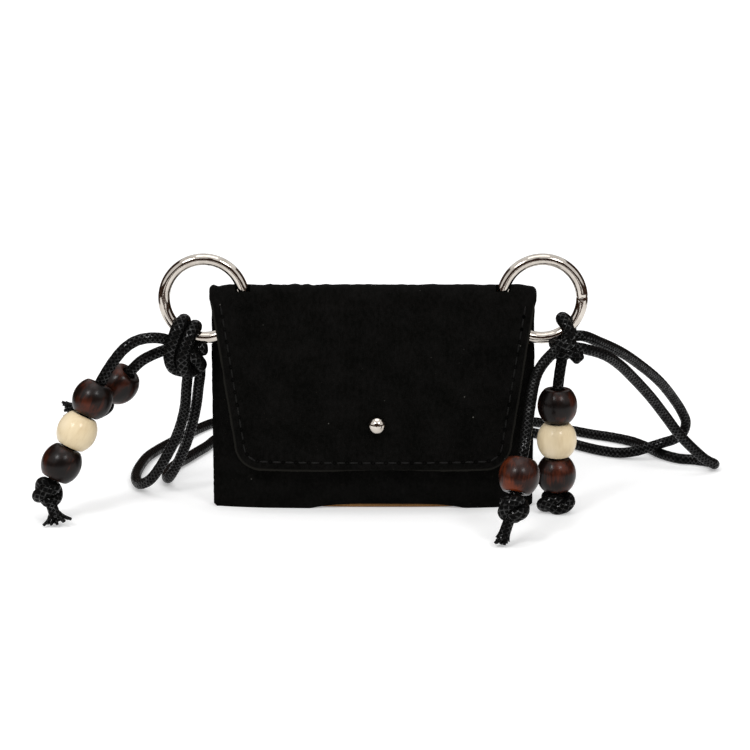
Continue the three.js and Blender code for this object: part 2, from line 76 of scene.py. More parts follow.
# %% Set up the camera
camera_elevation = math.radians(13)
camera_distance = 0.75
camera_target = Vector((0.0006, 0.0064, 0.042))
camera_data = bpy.data.cameras.new("photo_camera")
camera_data.lens = 115.9
camera_data.sensor_width = 36
camera = bpy.data.objects.new("photo_camera", camera_data)
bpy.context.scene.collection.objects.link(camera)
sight = Vector((0, -math.cos(camera_elevation), math.sin(camera_elevation)))
camera.location = camera_target + camera_distance * sight
camera.rotation_euler = (math.pi / 2 - camera_elevation, 0, 0)
bpy.context.scene.camera = camera
print("camera at", [round(v, 4) for v in camera.location])

# %% [markdown]
# A strap is two braided cords that lie side by side. A cord's route is a list of given points, and a smooth
# curve runs through them. A curve object could carry the round section, but a mesh made in code has a map
# of its own: once round the cord, and metres along it, for the braid to follow.

# %% Draw a smooth route
def reach_along(route):
    """How far along a route each of its points lies."""
    return np.concatenate([[0], np.cumsum(np.linalg.norm(np.diff(route, axis=0), axis=1))])


def smooth_route(points, step, closed=False):
    """Evenly spaced points on a centripetal curve through given points."""
    given = [np.array(p, float) for p in points]
    if closed:
        chain = [given[-1], *given, given[0], given[1]]
    else:
        chain = [2 * given[0] - given[1], *given, 2 * given[-1] - given[-2]]
    fine = []
    for before, start, end, after in zip(chain, chain[1:], chain[2:], chain[3:]):
        gaps = [math.sqrt(np.linalg.norm(b - a)) for a, b in
                ((before, start), (start, end), (end, after))]
        leave = (start - before) / gaps[0] - (end - before) / (gaps[0] + gaps[1]) + (end - start) / gaps[1]
        arrive = (end - start) / gaps[1] - (after - start) / (gaps[1] + gaps[2]) + (after - end) / gaps[2]
        t = np.linspace(0, 1, 24, endpoint=False)[:, None]
        fine.append(start * (1 + t * t * (2 * t - 3)) + leave * gaps[1] * (t * (1 - t) ** 2)
                    + end * (t * t * (3 - 2 * t)) + arrive * gaps[1] * (t * t * (t - 1)))
    fine = np.vstack([*fine, [given[0] if closed else given[-1]]])
    along = reach_along(fine)
    count = max(6, round(along[-1] / step))
    even = np.linspace(0, along[-1], count + 1)
    return np.column_stack([np.interp(even, along, fine[:, k]) for k in range(3)])


def route_length(route):
    return float(np.linalg.norm(np.diff(route, axis=0), axis=1).sum())


# %% [markdown]
# Each ring of the tube is carried along the route without twist, so the braid runs straight. The
# braid stands out a little: eight strands cross in diamonds, and the same pattern is repeated finer
# in the material. The ends are closed, so the cord is one solid skin.

# %% Make braided cord
cord_radius = 0.0017
braid_pitch = 0.0030
braid_height = 0.000025
cord_sides = 16


def cord_rings(route, radii, closed=False):
    """Rings of points round a route, and their places on the cord's own map."""
    ahead = np.roll(route, -1, axis=0) if closed else np.vstack([route[1:], route[-1:]])
    behind = np.roll(route, 1, axis=0) if closed else np.vstack([route[:1], route[:-1]])
    tangents = ahead - behind
    tangents /= np.linalg.norm(tangents, axis=1)[:, None]
    side = np.cross(tangents[0], (0.0, 0.0, 1.0))
    if np.linalg.norm(side) < 0.1:
        side = np.cross(tangents[0], (0.0, 1.0, 0.0))
    around = np.arange(cord_sides) * 2 * math.pi / cord_sides
    along = reach_along(route)
    rings = []
    for point, tangent, radius, reach in zip(route, tangents, radii, along):
        side = side - tangent * side.dot(tangent)
        side /= np.linalg.norm(side)
        up = np.cross(tangent, side)
        turn = 2 * math.pi * reach / braid_pitch
        strands = np.maximum(np.sin(4 * around + turn), np.sin(4 * around - turn))
        out = radius + braid_height * strands
        rings.append(point + out[:, None] * (np.cos(around)[:, None] * side + np.sin(around)[:, None] * up))
    return np.array(rings), along


def cord_mesh(name, strands):
    """One mesh of one or more strands, each given as (route, radii, closed)."""
    points, faces, maps = [], [], []
    first = 0
    for route, radii, closed in strands:
        if closed:
            route, radii = route[:-1], radii[:-1]
        rings, along = cord_rings(route, radii, closed)
        count = len(rings)
        points.append(rings.reshape(-1, 3))
        for i in range(count if closed else count - 1):
            j = (i + 1) % count
            reach = (along[i], along[i] + np.linalg.norm(route[j] - route[i]))
            for k in range(cord_sides):
                n = (k + 1) % cord_sides
                faces.append([first + i * cord_sides + k, first + i * cord_sides + n,
                              first + j * cord_sides + n, first + j * cord_sides + k])
                u, w = k / cord_sides, (k + 1) / cord_sides
                maps.append([(u, reach[0]), (w, reach[0]), (w, reach[1]), (u, reach[1])])
        if not closed:
            last = first + (count - 1) * cord_sides
            turns = range(cord_sides)
            faces.append([first + k for k in reversed(turns)])
            faces.append([last + k for k in turns])
            maps.append([(k / cord_sides, 0.0) for k in reversed(turns)])
            maps.append([(k / cord_sides, along[-1]) for k in turns])
        first += count * cord_sides
    mesh = bpy.data.meshes.new(name)
    mesh.from_pydata(np.vstack(points).tolist(), [], faces)
    cord_map = mesh.uv_layers.new(name="cord_map")
    cord_map.data.foreach_set("uv", np.array([uv for face in maps for uv in face], np.float32).ravel())
    mesh.polygons.foreach_set("use_smooth", [True] * len(mesh.polygons))
    mesh.update()
    piece = bpy.data.objects.new(name, mesh)
    bpy.context.scene.collection.objects.link(piece)
    return piece


def even_radii(route, radius=cord_radius):
    return np.full(len(route), radius)


# %% [markdown]
# What the photograph shows of the strap leaves the two rings and runs off behind the pouch. The rest
# is put away in one round coil there, held by a tie. Cord A makes the two lower rows of turns and
# cord B the two upper ones: each winds inwards on its lower row and outwards again on its upper row.

# %% Wind the coil
coil_centre_y = 0.072
coil_outer_turn = 0.02425
coil_inner_turn = 0.01375
points_per_turn = 24


def coil_points(start_degrees, swept_degrees, low_row, high_row):
    """Points of one cord's turns, clockwise from above, in on the low row and out on the high one."""
    count = round(swept_degrees / 360 * points_per_turn)
    turns = []
    for i in range(count + 1):
        share = i / count
        angle = math.radians(start_degrees - swept_degrees * share)
        inward = 1 - abs(2 * share - 1)
        reach = coil_outer_turn + (coil_inner_turn - coil_outer_turn) * inward
        climb = min(1, max(0, (share - 0.47) / 0.06))
        height = low_row + (high_row - low_row) * climb * climb * (3 - 2 * climb)
        turns.append((reach * math.cos(angle), coil_centre_y + reach * math.sin(angle), height))
    return turns


sweep_a, sweep_b = 2141.5, 2176.3
row_heights = (0.00265, 0.00615, 0.00965, 0.01315)
coil_a = coil_points(79, sweep_a, *row_heights[:2])
coil_b = coil_points(100, sweep_b, *row_heights[2:])
print("turns", round(sweep_a / 360, 2), round(sweep_b / 360, 2))

# %% [markdown]
# The routes repeat the points of the solid model, in metres from the pouch's plane. On the left the
# cords drop beside the pouch to the floor and run back. On the right they swing out in a wide arc,
# cross, touch the floor and come back behind the pouch. Each end runs on into its knot.

# %% Lay the strap
strap_a_left = [
    (-0.0572, -0.0012, 0.0476), (-0.0575, -0.0003, 0.0431), (-0.0582, 0.0014, 0.037),
    (-0.0588, 0.003, 0.0314), (-0.0602, 0.0044, 0.0256), (-0.0623, 0.006, 0.0199),
    (-0.0648, 0.0075, 0.0149), (-0.0676, 0.0092, 0.0099), (-0.0712, 0.012, 0.0049),
    (-0.0748, 0.017, 0.0022), (-0.0768, 0.024, 0.0018), (-0.0774, 0.032, 0.0017), (-0.077, 0.042, 0.0017),
    (-0.0756, 0.053, 0.0017), (-0.073, 0.062, 0.0017), (-0.0696, 0.071, 0.0017), (-0.065, 0.082, 0.0017),
    (-0.0608, 0.092, 0.0017), (-0.0555, 0.1005, 0.0017), (-0.0485, 0.1046, 0.0017),
    (-0.04, 0.1048, 0.0017), (-0.028, 0.1022, 0.0019), (-0.018, 0.1002, 0.0023),
    (-0.0083, 0.0983, 0.0026),
]
strap_b_left = [
    (-0.0546, -0.0014, 0.048), (-0.0537, -0.0002, 0.0438), (-0.0546, 0.0032, 0.037),
    (-0.0555, 0.0058, 0.031), (-0.057, 0.0086, 0.0245), (-0.059, 0.0116, 0.018), (-0.0614, 0.0144, 0.012),
    (-0.064, 0.0176, 0.0066), (-0.0662, 0.0224, 0.0027), (-0.0672, 0.028, 0.0019),
    (-0.067, 0.035, 0.0018), (-0.0654, 0.0425, 0.00175), (-0.0626, 0.05, 0.00175),
    (-0.0594, 0.059, 0.00175), (-0.0566, 0.067, 0.00175), (-0.0546, 0.075, 0.00175),
    (-0.0516, 0.082, 0.00175), (-0.0466, 0.087, 0.0019), (-0.04, 0.0896, 0.003), (-0.033, 0.091, 0.0054),
    (-0.0254, 0.0922, 0.0083), (-0.0173, 0.0936, 0.0097),
]
strap_a_right = [
    (0.0101, 0.0978, 0.006), (0.02, 0.0991, 0.0048), (0.03, 0.1004, 0.003), (0.04, 0.1014, 0.0019),
    (0.05, 0.102, 0.0017), (0.0585, 0.0999, 0.0017), (0.0656, 0.092, 0.0017), (0.0758, 0.0833, 0.0017),
    (0.0823, 0.0791, 0.0017), (0.0887, 0.0733, 0.0017), (0.0933, 0.0653, 0.0017),
    (0.0973, 0.0562, 0.0017), (0.1024, 0.0503, 0.0017), (0.1076, 0.0486, 0.0017),
    (0.1122, 0.0456, 0.0017), (0.1128, 0.0406, 0.0024), (0.109, 0.037, 0.0052), (0.1042, 0.034, 0.0099),
    (0.0996, 0.0316, 0.015), (0.0948, 0.0286, 0.0216), (0.0893, 0.023, 0.0292), (0.0828, 0.0154, 0.0372),
    (0.077, 0.008, 0.0437), (0.0714, 0.0014, 0.0483), (0.0642, -0.0042, 0.0514),
    (0.0605, -0.0052, 0.0522),
]
strap_b_right = [
    (0.0156, 0.0948, 0.0131), (0.026, 0.0936, 0.0106), (0.036, 0.0922, 0.0062), (0.045, 0.0905, 0.0028),
    (0.051, 0.0882, 0.0018), (0.0575, 0.0834, 0.0017), (0.0644, 0.075, 0.0017), (0.0722, 0.0656, 0.0017),
    (0.0775, 0.0606, 0.0017), (0.0833, 0.057, 0.0019), (0.0886, 0.0556, 0.0029), (0.0934, 0.0556, 0.0044),
    (0.0976, 0.0566, 0.0055), (0.1018, 0.0584, 0.0064), (0.1048, 0.06, 0.0084), (0.1056, 0.0604, 0.0116),
    (0.104, 0.0586, 0.0156), (0.1004, 0.054, 0.0214), (0.0945, 0.044, 0.0295), (0.0862, 0.03, 0.0384),
    (0.0787, 0.018, 0.0453), (0.071, 0.007, 0.0508), (0.0644, -0.0011, 0.0547), (0.0605, -0.0026, 0.0548),
]
cord_step = 0.00045
strap_pieces, strap_routes = [], []
for name, points in (
    ("strap_cord_a", strap_a_left + coil_a + strap_a_right),
    ("strap_cord_b", strap_b_left + coil_b + strap_b_right),
):
    route = smooth_route(placed(points), cord_step)
    strap_pieces.append(cord_mesh(name, [(route, even_radii(route), False)]))
    strap_routes.append(route)
    print(name, "is", round(route_length(route), 3), "m long")

# %% [markdown]
# At each ring the cords go over the wire and are bound in a lumpy knot. A knot could be one bumpy ball, but
# its shine comes from separate strands, so each visible strand is laid one by one: the bights that go over
# the wire, the wraps below them, and the cut stub that pokes out.

# %% Tie the cords to the rings
left_knot_strands = [
    [(-0.0604, 0.0006, 0.0548), (-0.0599, 0.0002, 0.0574), (-0.0584, -0.0016, 0.0594),
     (-0.0583, -0.0036, 0.0598), (-0.0596, -0.0062, 0.0585), (-0.0607, -0.0073, 0.0557),
     (-0.0618, -0.0076, 0.052), (-0.0622, -0.0068, 0.0485), (-0.0612, -0.0054, 0.0457),
     (-0.0586, -0.004, 0.0446), (-0.0556, -0.002, 0.0456), (-0.0548, 0.0004, 0.048)],
    [(-0.0574, 0.0005, 0.0522), (-0.0568, 0.0004, 0.0552), (-0.055, -0.0016, 0.0576),
     (-0.0549, -0.0038, 0.0578), (-0.0562, -0.0066, 0.0561), (-0.0574, -0.0078, 0.0528),
     (-0.0583, -0.0083, 0.0498), (-0.0582, -0.0078, 0.0468), (-0.0569, -0.0056, 0.0448),
     (-0.0552, -0.0034, 0.0447), (-0.054, -0.001, 0.0462)],
    [(-0.059, -0.004, 0.052), (-0.0566, -0.0066, 0.0502), (-0.0545, -0.0062, 0.0484),
     (-0.0534, -0.0044, 0.0464), (-0.0546, -0.0018, 0.045), (-0.0572, -0.0004, 0.0452),
     (-0.0598, -0.0012, 0.0466), (-0.0614, -0.0034, 0.049)],
    [(-0.0626, -0.003, 0.05), (-0.061, 0.0002, 0.0498), (-0.0582, 0.0016, 0.0494),
     (-0.0552, 0.0008, 0.0496), (-0.0538, -0.0016, 0.0502), (-0.0546, -0.0046, 0.0508)],
    [(-0.0604, -0.002, 0.0536), (-0.0584, -0.0026, 0.052), (-0.056, -0.0034, 0.0513),
     (-0.0536, -0.004, 0.0512), (-0.051, -0.0042, 0.0514)],
]
right_knot_strands = [
    [(0.0606, 0.0002, 0.054), (0.061, 0.0004, 0.0562), (0.06, -0.0002, 0.0588), (0.0584, -0.002, 0.0604),
     (0.0582, -0.0042, 0.0604), (0.0594, -0.0064, 0.0588), (0.06, -0.0072, 0.0566),
     (0.0594, -0.0074, 0.0545), (0.0586, -0.007, 0.0522), (0.0584, -0.0056, 0.05),
     (0.0592, -0.0034, 0.0492)],
    [(0.0612, -0.0058, 0.054), (0.0594, -0.0082, 0.0536), (0.0573, -0.0078, 0.053),
     (0.0563, -0.0054, 0.0528), (0.0562, -0.0026, 0.0528), (0.0574, -0.0004, 0.0526),
     (0.0598, 0.0002, 0.0526), (0.0614, -0.0016, 0.053)],
    [(0.0618, -0.004, 0.0512), (0.0602, -0.0066, 0.0508), (0.058, -0.007, 0.0503), (0.057, -0.005, 0.05),
     (0.057, -0.0024, 0.05), (0.0584, -0.0006, 0.0502), (0.0606, -0.001, 0.0508)],
    [(0.059, -0.003, 0.052), (0.0612, -0.0044, 0.0504), (0.0626, -0.0052, 0.0491),
     (0.064, -0.0056, 0.0476)],
]
knot_step = 0.0004


def tied_knot(name, strands, radius):
    """A knot of separate strands with rounded ends."""
    tubes = []
    for points in strands:
        route = smooth_route(placed(points), knot_step)
        radii = even_radii(route, radius)
        radii[:3] *= (0.6, 0.85, 0.96)
        radii[-3:] *= (0.96, 0.85, 0.6)
        tubes.append((route, radii, False))
    return cord_mesh(name, tubes)


ring_knots = [
    tied_knot("ring_knot_left_strands", left_knot_strands, 0.0022),
    tied_knot("ring_knot_right_strands", right_knot_strands, 0.0020),
]
print("knot strands", len(left_knot_strands), len(right_knot_strands))

# %% [markdown]
# Four short tails hang from the knots, each through its wooden beads and into an end knot. A tail is one
# cord from the ring knot to its tip, so the route is its listed points, then the straight line of its
# beads, then the knot and the tip. Three of the tips show, and are fanned out a little.

# %% Describe the tails
bead_length = 0.0106
bead_pitch = 0.01095
bead_gap = 0.00035
frayed_radius = 0.00225
tails = {
    "left_long": {
        "route": [(-0.0605, -0.0048, 0.0520), (-0.0634, -0.006, 0.0545), (-0.0682, -0.008, 0.0555),
                  (-0.0725, -0.0093, 0.0548), (-0.076, -0.0102, 0.0526), (-0.0792, -0.0106, 0.0489),
                  (-0.0818, -0.011, 0.045)],
        "first_bead": (-0.0859, -0.012, 0.0372), "down": (-0.437, -0.18, -0.88),
        "beads": ["bead_left_1", "bead_left_2", "bead_left_3"],
        "knot": (0.005, 0.005, 0.0042), "turn": 0.3, "tip": (-0.0966, -0.0234, 0.0022), "fray": 0.0032,
    },
    "left_short": {
        "route": [(-0.0608, -0.0022, 0.0512), (-0.0643, -0.0016, 0.0503), (-0.0684, -0.0012, 0.0486),
                  (-0.0718, -0.0005, 0.0466), (-0.0744, 0.0003, 0.0441)],
        "first_bead": (-0.0792, 0.0016, 0.0388), "down": (-0.66, 0.19, -0.73),
        "beads": ["bead_left_4"],
        "knot": (0.0045, 0.0045, 0.0042), "turn": 1.2, "tip": (-0.095, 0.005, 0.0298), "fray": 0.0018,
    },
    "right_long": {
        "route": [(0.0586, -0.0046, 0.0515), (0.0581, -0.0059, 0.0483), (0.0573, -0.0074, 0.0438),
                  (0.0569, -0.008, 0.0405)],
        "first_bead": (0.0568, -0.008, 0.03425), "down": (0, 0, -1),
        "beads": ["bead_right_1", "bead_right_2", "bead_right_3"],
        "knot": (0.0063, 0.0053, 0.0034), "turn": math.pi / 2, "tip": None, "fray": 0,
    },
    "right_short": {
        "route": [(0.0580, -0.0052, 0.0528), (0.0562, -0.0082, 0.0519), (0.0522, -0.0126, 0.0489),
                  (0.05, -0.016, 0.0464), (0.0486, -0.02, 0.0436), (0.0477, -0.024, 0.0406),
                  (0.0468, -0.028, 0.037), (0.046, -0.0317, 0.033), (0.0451, -0.0349, 0.0284)],
        "first_bead": (0.0434, -0.0386, 0.0202), "down": (-0.192, -0.405, -0.895),
        "beads": ["bead_right_4"],
        "knot": (0.005, 0.005, 0.0042), "turn": 2.0, "tip": (0.0384, -0.0442, 0.0022), "fray": 0.0007,
    },
}
print("tails", ", ".join(tails))

# %% [markdown]
# An end knot is a tight overhand knot. Its cord follows a trefoil, the simplest real knot, pulled in
# until the hole in its middle closes. The trefoil is squashed to the knot's size and turned to the
# tail's line, and each knot is turned differently about that line.

# %% Make the tails and their end knots
knot_cord_radius = 0.0020
yarn_radius = 0.00062


def end_knot_route(centre, axis, size, turn):
    """A trefoil of cord round an axis, as large outside as the knot."""
    turned = Vector((0, 0, -1)).rotation_difference(axis).to_matrix()
    middle_x, middle_y = (0.64 * (half - knot_cord_radius) for half in size[:2])
    swing_x, swing_y = (0.36 * (half - knot_cord_radius) for half in size[:2])
    swing_z = size[2] - knot_cord_radius
    points = []
    for i in range(48):
        t = 2 * math.pi * i / 48
        flat = Vector(((middle_x + swing_x * math.cos(3 * t)) * math.cos(2 * t + turn),
                       (middle_y + swing_y * math.cos(3 * t)) * math.sin(2 * t + turn),
                       swing_z * math.sin(3 * t)))
        points.append(turned @ flat + centre)
    return smooth_route(points, knot_step, closed=True)


def frayed_ends(route, spread, count=11):
    """Loose yarns that fan out from the cut end of a cord, above the floor."""
    end = Vector(route[-1])
    ahead = (end - Vector(route[-8])).normalized()
    side = ahead.cross(Vector((0, 1, 0))).normalized()
    depth = ahead.cross(side)
    yarns = []
    for i in range(count):
        share = 2 * i / (count - 1) - 1
        turn = 2.4 * i
        start = end - 0.0026 * ahead + side * share * 0.0009 + depth * 0.0008 * math.sin(turn)
        reach = 0.0012 + 0.0007 * math.sin(1.7 * turn) + 0.0006 * abs(share)
        stop = end + reach * ahead + side * share * (spread + 0.0012) + depth * 0.0012 * math.sin(turn + 1)
        middle = start.lerp(stop, 0.5) + depth * 0.0003 * math.cos(turn) - side * share * 0.0004
        line = [Vector((p.x, p.y, max(p.z, 0.0009))) for p in (start, middle, stop)]
        yarn = smooth_route(line, knot_step)
        yarns.append((yarn, yarn_radius * np.linspace(1.1, 0.75, len(yarn)), False))
    return yarns


tail_cords, end_knots, frays, bead_places = {}, {}, {}, {}
for name, tail in tails.items():
    axis = Vector(tail["down"]).normalized()
    first = Vector(placed(tail["first_bead"])[0])
    for i, bead_name in enumerate(tail["beads"]):
        bead_places[bead_name] = (first + axis * i * bead_pitch, axis)
    last_face = (len(tail["beads"]) - 1) * bead_pitch + bead_length / 2
    knot_centre = first + axis * (last_face + bead_gap + tail["knot"][2])
    points = [*placed(tail["route"]), first - axis * bead_length / 2, first, first + axis * last_face,
              knot_centre]
    radii_end = cord_radius
    if tail["tip"]:
        tip = Vector(placed(tail["tip"])[0])
        points += [knot_centre.lerp(tip, 0.6), tip]
        radii_end = frayed_radius
    route = smooth_route(points, cord_step)
    radii = even_radii(route)
    flare = np.clip((np.arange(len(route)) - len(route) + 8) / 7, 0, 1)
    radii += (radii_end - cord_radius) * flare ** 2
    tail_cords[name] = (cord_mesh("tail_%s_cord" % name, [(route, radii, False)]), route)
    if tail["tip"]:
        frays[name] = cord_mesh("tail_%s_fray" % name, frayed_ends(route, tail["fray"]))
    knot_route = end_knot_route(knot_centre, axis, tail["knot"], tail["turn"])
    knot_strand = (knot_route, even_radii(knot_route, knot_cord_radius), True)
    end_knots[name] = cord_mesh("tail_%s_end_knot" % name, [knot_strand])
    print(name, "tail", round(route_length(route), 4), "m, beads", len(tail["beads"]))

# %% [markdown]
# A bead is turned from hardwood and drilled through. A ball is stretched a little along the drill's
# line, its two caps are cut off, and the two open edges are drawn in and bridged to make the bore.
# The edges are then rounded with a bevel. One bead is modelled, and all eight are copies of it.

# %% Turn one bead
def deselect_all():
    if bpy.context.object and bpy.context.object.mode != "OBJECT":
        bpy.ops.object.mode_set(mode="OBJECT")
    bpy.ops.object.select_all(action="DESELECT")


def apply_modifier(piece, kind, **settings):
    """Adds a modifier with these settings and applies it."""
    modifier = piece.modifiers.new(kind.lower(), kind)
    for name, value in settings.items():
        setattr(modifier, name, value)
    bpy.context.view_layer.objects.active = piece
    bpy.ops.object.modifier_apply(modifier=modifier.name)


bead_radius = 0.00615
bore_radius = 0.00225
face_share = 0.62
deselect_all()
bpy.ops.mesh.primitive_uv_sphere_add(segments=48, ring_count=32, radius=bead_radius)
bead = bpy.context.object
stretch = bead_length / 2 / math.sqrt(1 - face_share ** 2) / bead_radius
bpy.ops.object.mode_set(mode="EDIT")
bpy.ops.transform.resize(value=(1, 1, stretch))
for end in (1, -1):
    bpy.ops.mesh.select_all(action="SELECT")
    bpy.ops.mesh.bisect(plane_co=(0, 0, end * bead_length / 2), plane_no=(0, 0, end), clear_outer=True)
bpy.ops.mesh.select_all(action="DESELECT")
bpy.ops.mesh.select_mode(type="EDGE")
bpy.ops.mesh.select_non_manifold()
bpy.ops.mesh.extrude_edges_move()
draw_in = bore_radius / (bead_radius * face_share)
bpy.ops.transform.resize(value=(draw_in, draw_in, 1))
bpy.ops.mesh.bridge_edge_loops()
bpy.ops.mesh.select_all(action="SELECT")
bpy.ops.mesh.remove_doubles(threshold=1e-6)
bpy.ops.mesh.normals_make_consistent(inside=False)
bpy.ops.object.mode_set(mode="OBJECT")
apply_modifier(bead, "BEVEL", width=0.0004, segments=3, limit_method="ANGLE",
               angle_limit=math.radians(35))
bpy.ops.object.shade_smooth_by_angle(angle=math.radians(50))
print("one bead", len(bead.data.vertices), "points, height", round(bead.dimensions.z, 5))

# %% [markdown]
# The grain has to follow each bead, whatever way it hangs. Before a copy is turned to its place, its
# own coordinates are kept on its mesh as an attribute, and the wood reads that attribute.

# %% String the beads
bead_pieces = {}
grain_shift = np.array([0.031, 0.017, 0.023], np.float32)
turn_between_beads = 0.8
for order, (name, (centre, axis)) in enumerate(bead_places.items()):
    piece = bpy.data.objects.new(name + "_turned", bead.data.copy())
    bpy.context.scene.collection.objects.link(piece)
    own = np.zeros(len(piece.data.vertices) * 3, np.float32)
    piece.data.vertices.foreach_get("co", own)
    grain = piece.data.attributes.new("grain_place", "FLOAT_VECTOR", "POINT")
    grain.data.foreach_set("vector", (own.reshape(-1, 3) + grain_shift * order).ravel())
    turn = Vector((0, 0, 1)).rotation_difference(axis).to_matrix().to_4x4()
    about = Matrix.Rotation(turn_between_beads * order, 4, "Z")
    piece.data.transform(Matrix.Translation(centre) @ turn @ about)
    bead_pieces[name] = piece
bpy.data.objects.remove(bead)
print("beads", len(bead_pieces))

# %% [markdown]
# The rings are nickel wire, bent round and butted. A torus gives the wire, and the butt joint is one
# narrow groove: one round of its points is drawn in by about a tenth of a millimetre.

# %% Bend the rings
ring_radius = 0.01225
wire_radius = 0.0018
ring_y = depth_shift - 0.0032
ring_height = 0.0668
joint_depth = 0.93
ring_pieces = {}
for side_name, side, joint_degrees in (("left", -1, 250), ("right", 1, 3)):
    centre = Vector((side * (pouch_width / 2 + 0.0019), ring_y, ring_height))
    deselect_all()
    bpy.ops.mesh.primitive_torus_add(major_segments=144, minor_segments=28, major_radius=ring_radius,
                                     minor_radius=wire_radius, location=centre,
                                     rotation=(math.pi / 2, 0, 0))
    ring = bpy.context.object
    ring.name = "ring_%s_wire" % side_name
    bpy.ops.object.transform_apply(location=True, rotation=True, scale=True)
    angle = math.radians(joint_degrees)
    joint = centre + ring_radius * Vector((math.cos(angle), 0, math.sin(angle)))
    across = Vector((-math.sin(angle), 0, math.cos(angle)))
    for vertex in ring.data.vertices:
        from_joint = vertex.co - joint
        if from_joint.length < 2 * wire_radius and abs(from_joint.dot(across)) < 0.0002:
            flat = from_joint - across * from_joint.dot(across)
            vertex.co = joint + across * from_joint.dot(across) + flat * joint_depth
    bpy.ops.object.shade_smooth()
    ring_pieces[side_name] = ring
    print(ring.name, "joint at", [round(v, 4) for v in joint])

# %% [markdown]
# The closure is a ball stud: ball, neck, flange and shank are turned as one piece, and a screw goes
# into the hollow shank from behind. Turned pieces are drawn as a disc that is extruded upwards and
# scaled at each step of the profile, which is how one would shape them by hand.

# %% Turn the stud and its screw
def turned_piece(name, profile, place, sides=48):
    """A disc extruded and scaled from step to step of (radius, height), then laid along +Y."""
    deselect_all()
    radius, height = profile[0]
    bpy.ops.mesh.primitive_circle_add(vertices=sides, radius=radius, fill_type="NGON",
                                      location=(0, 0, height))
    piece = bpy.context.object
    piece.name = name
    bpy.ops.object.mode_set(mode="EDIT")
    bpy.ops.mesh.select_mode(type="FACE")
    for next_radius, next_height in profile[1:]:
        rise = {"value": (0, 0, next_height - height)}
        bpy.ops.mesh.extrude_region_move(TRANSFORM_OT_translate=rise)
        share = next_radius / radius
        bpy.ops.transform.resize(value=(share, share, 1))
        radius, height = next_radius, next_height
    bpy.ops.mesh.select_all(action="SELECT")
    bpy.ops.mesh.normals_make_consistent(inside=False)
    bpy.ops.object.mode_set(mode="OBJECT")
    bpy.ops.object.transform_apply(location=True, rotation=True, scale=True)
    piece.data.transform(Matrix.Translation(place) @ Matrix.Rotation(-math.pi / 2, 4, "X"))
    bpy.ops.object.shade_smooth_by_angle(angle=math.radians(40))
    print(name, "length", round(profile[-1][1] - profile[0][1], 5))
    return piece


stud_x, stud_height = 0.0012, 0.0292
ball_radius, neck_radius, neck_length = 0.0029, 0.0013, 0.0013
flange_radius, flange_thickness = 0.0028, 0.0005
shank_radius, shank_bore, shank_length = 0.0016, 0.001, 0.0021
ball_centre = Vector((stud_x, depth_shift - 0.013075, stud_height))
ball_steps = [math.radians(2 + 8.05 * i) for i in range(19)]
neck_start = ball_radius * 0.5
flange_start = neck_start + neck_length
flange_end = flange_start + flange_thickness
stud_profile = [(ball_radius * math.sin(a), -ball_radius * math.cos(a)) for a in ball_steps]
stud_profile += [
    (neck_radius, flange_start - 0.0002), (neck_radius + 0.0002, flange_start),
    (flange_radius - 0.0001, flange_start), (flange_radius, flange_start + 0.0001),
    (flange_radius, flange_end), (shank_radius, flange_end), (shank_radius, flange_end + shank_length),
    (shank_bore, flange_end + shank_length), (shank_bore, flange_end),
]
stud = turned_piece("closure_stud_turned", stud_profile, ball_centre)
screw_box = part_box("stud_screw")
screw_place = Vector((stud_x, screw_box[0].y, stud_height))
screw_length = screw_box[1].y - screw_box[0].y
screw_head = 0.0008
screw_profile = [
    (0.0006, 0), (0.00075, 0.00015), (0.00075, screw_length - screw_head),
    (0.0030, screw_length - screw_head), (0.0032, screw_length - screw_head + 0.0002),
    (0.0032, screw_length - 0.0002), (0.0029, screw_length),
]
screw = turned_piece("stud_screw_turned", screw_profile, screw_place)

# %% [markdown]
# The suede is cut in two pieces. The wrap is one long strip: up the back, over the top and down the
# front as the flap. The front panel is sewn to its sides and stands out where the pouch is filled.
# These are curved sheets, so a flat grid is added and its points are moved by a few plain formulas,
# the same ones that shape the solid model. The formulas say how far each layer stands out.

# %% Shape the walls
half_width = pouch_width / 2
fold_centre_y, fold_height = -0.0021, 0.0659
mouth_height, foot_height = 0.052, 0.003
flap_bottom, corner_radius = 0.014, 0.008
corner_top = flap_bottom + corner_radius
full_from, full_to, full_half, full_depth = 0.022, 0.036, 0.048, 0.0085
flap_full_to, flap_full_half, flap_full_depth = 0.03408, 0.046, 0.0047


def bulge(x, z):
    """How far the filled front wall stands out from its seams."""
    across = max(0, 1 - (abs(x) / full_half) ** 4)
    height = max(z, foot_height)
    up = 1
    if height < full_from:
        up = 0.15 + 0.85 * math.sin(math.pi / 2 * height / full_from)
    elif height > full_to:
        up = 1 - 0.25 * ((height - full_to) / (mouth_height - full_to)) ** 2
    return full_depth * across * up


def flap_bulge(x, z):
    """How far the flap stands out over the filled wall."""
    across = max(0, 1 - (abs(x) / flap_full_half) ** 3.4)
    up = 1 - (max(0, z - flap_full_to) / (fold_height - flap_full_to)) ** 2
    return flap_full_depth * across * max(0, up)


def flap_half_width(z):
    """Half the flap's width at a height, with its rounded lower corners."""
    straight = half_width - 0.0004 - 0.155 * (fold_height - max(z, corner_top))
    if z >= corner_top:
        return straight
    down = corner_top - z
    return straight - (corner_radius - math.sqrt(max(0, corner_radius ** 2 - down ** 2)))


def softness(x, z, seed):
    """The slow waves of soft leather, a fraction of a millimetre high."""
    return 0.00022 * noise.noise(Vector((x * 55, z * 55, seed))) + 0.00008 * noise.noise(
        Vector((x * 160, z * 160, seed + 4)))


print("bulge at the stud", round(bulge(stud_x, stud_height), 5), round(flap_bulge(stud_x, stud_height), 5))

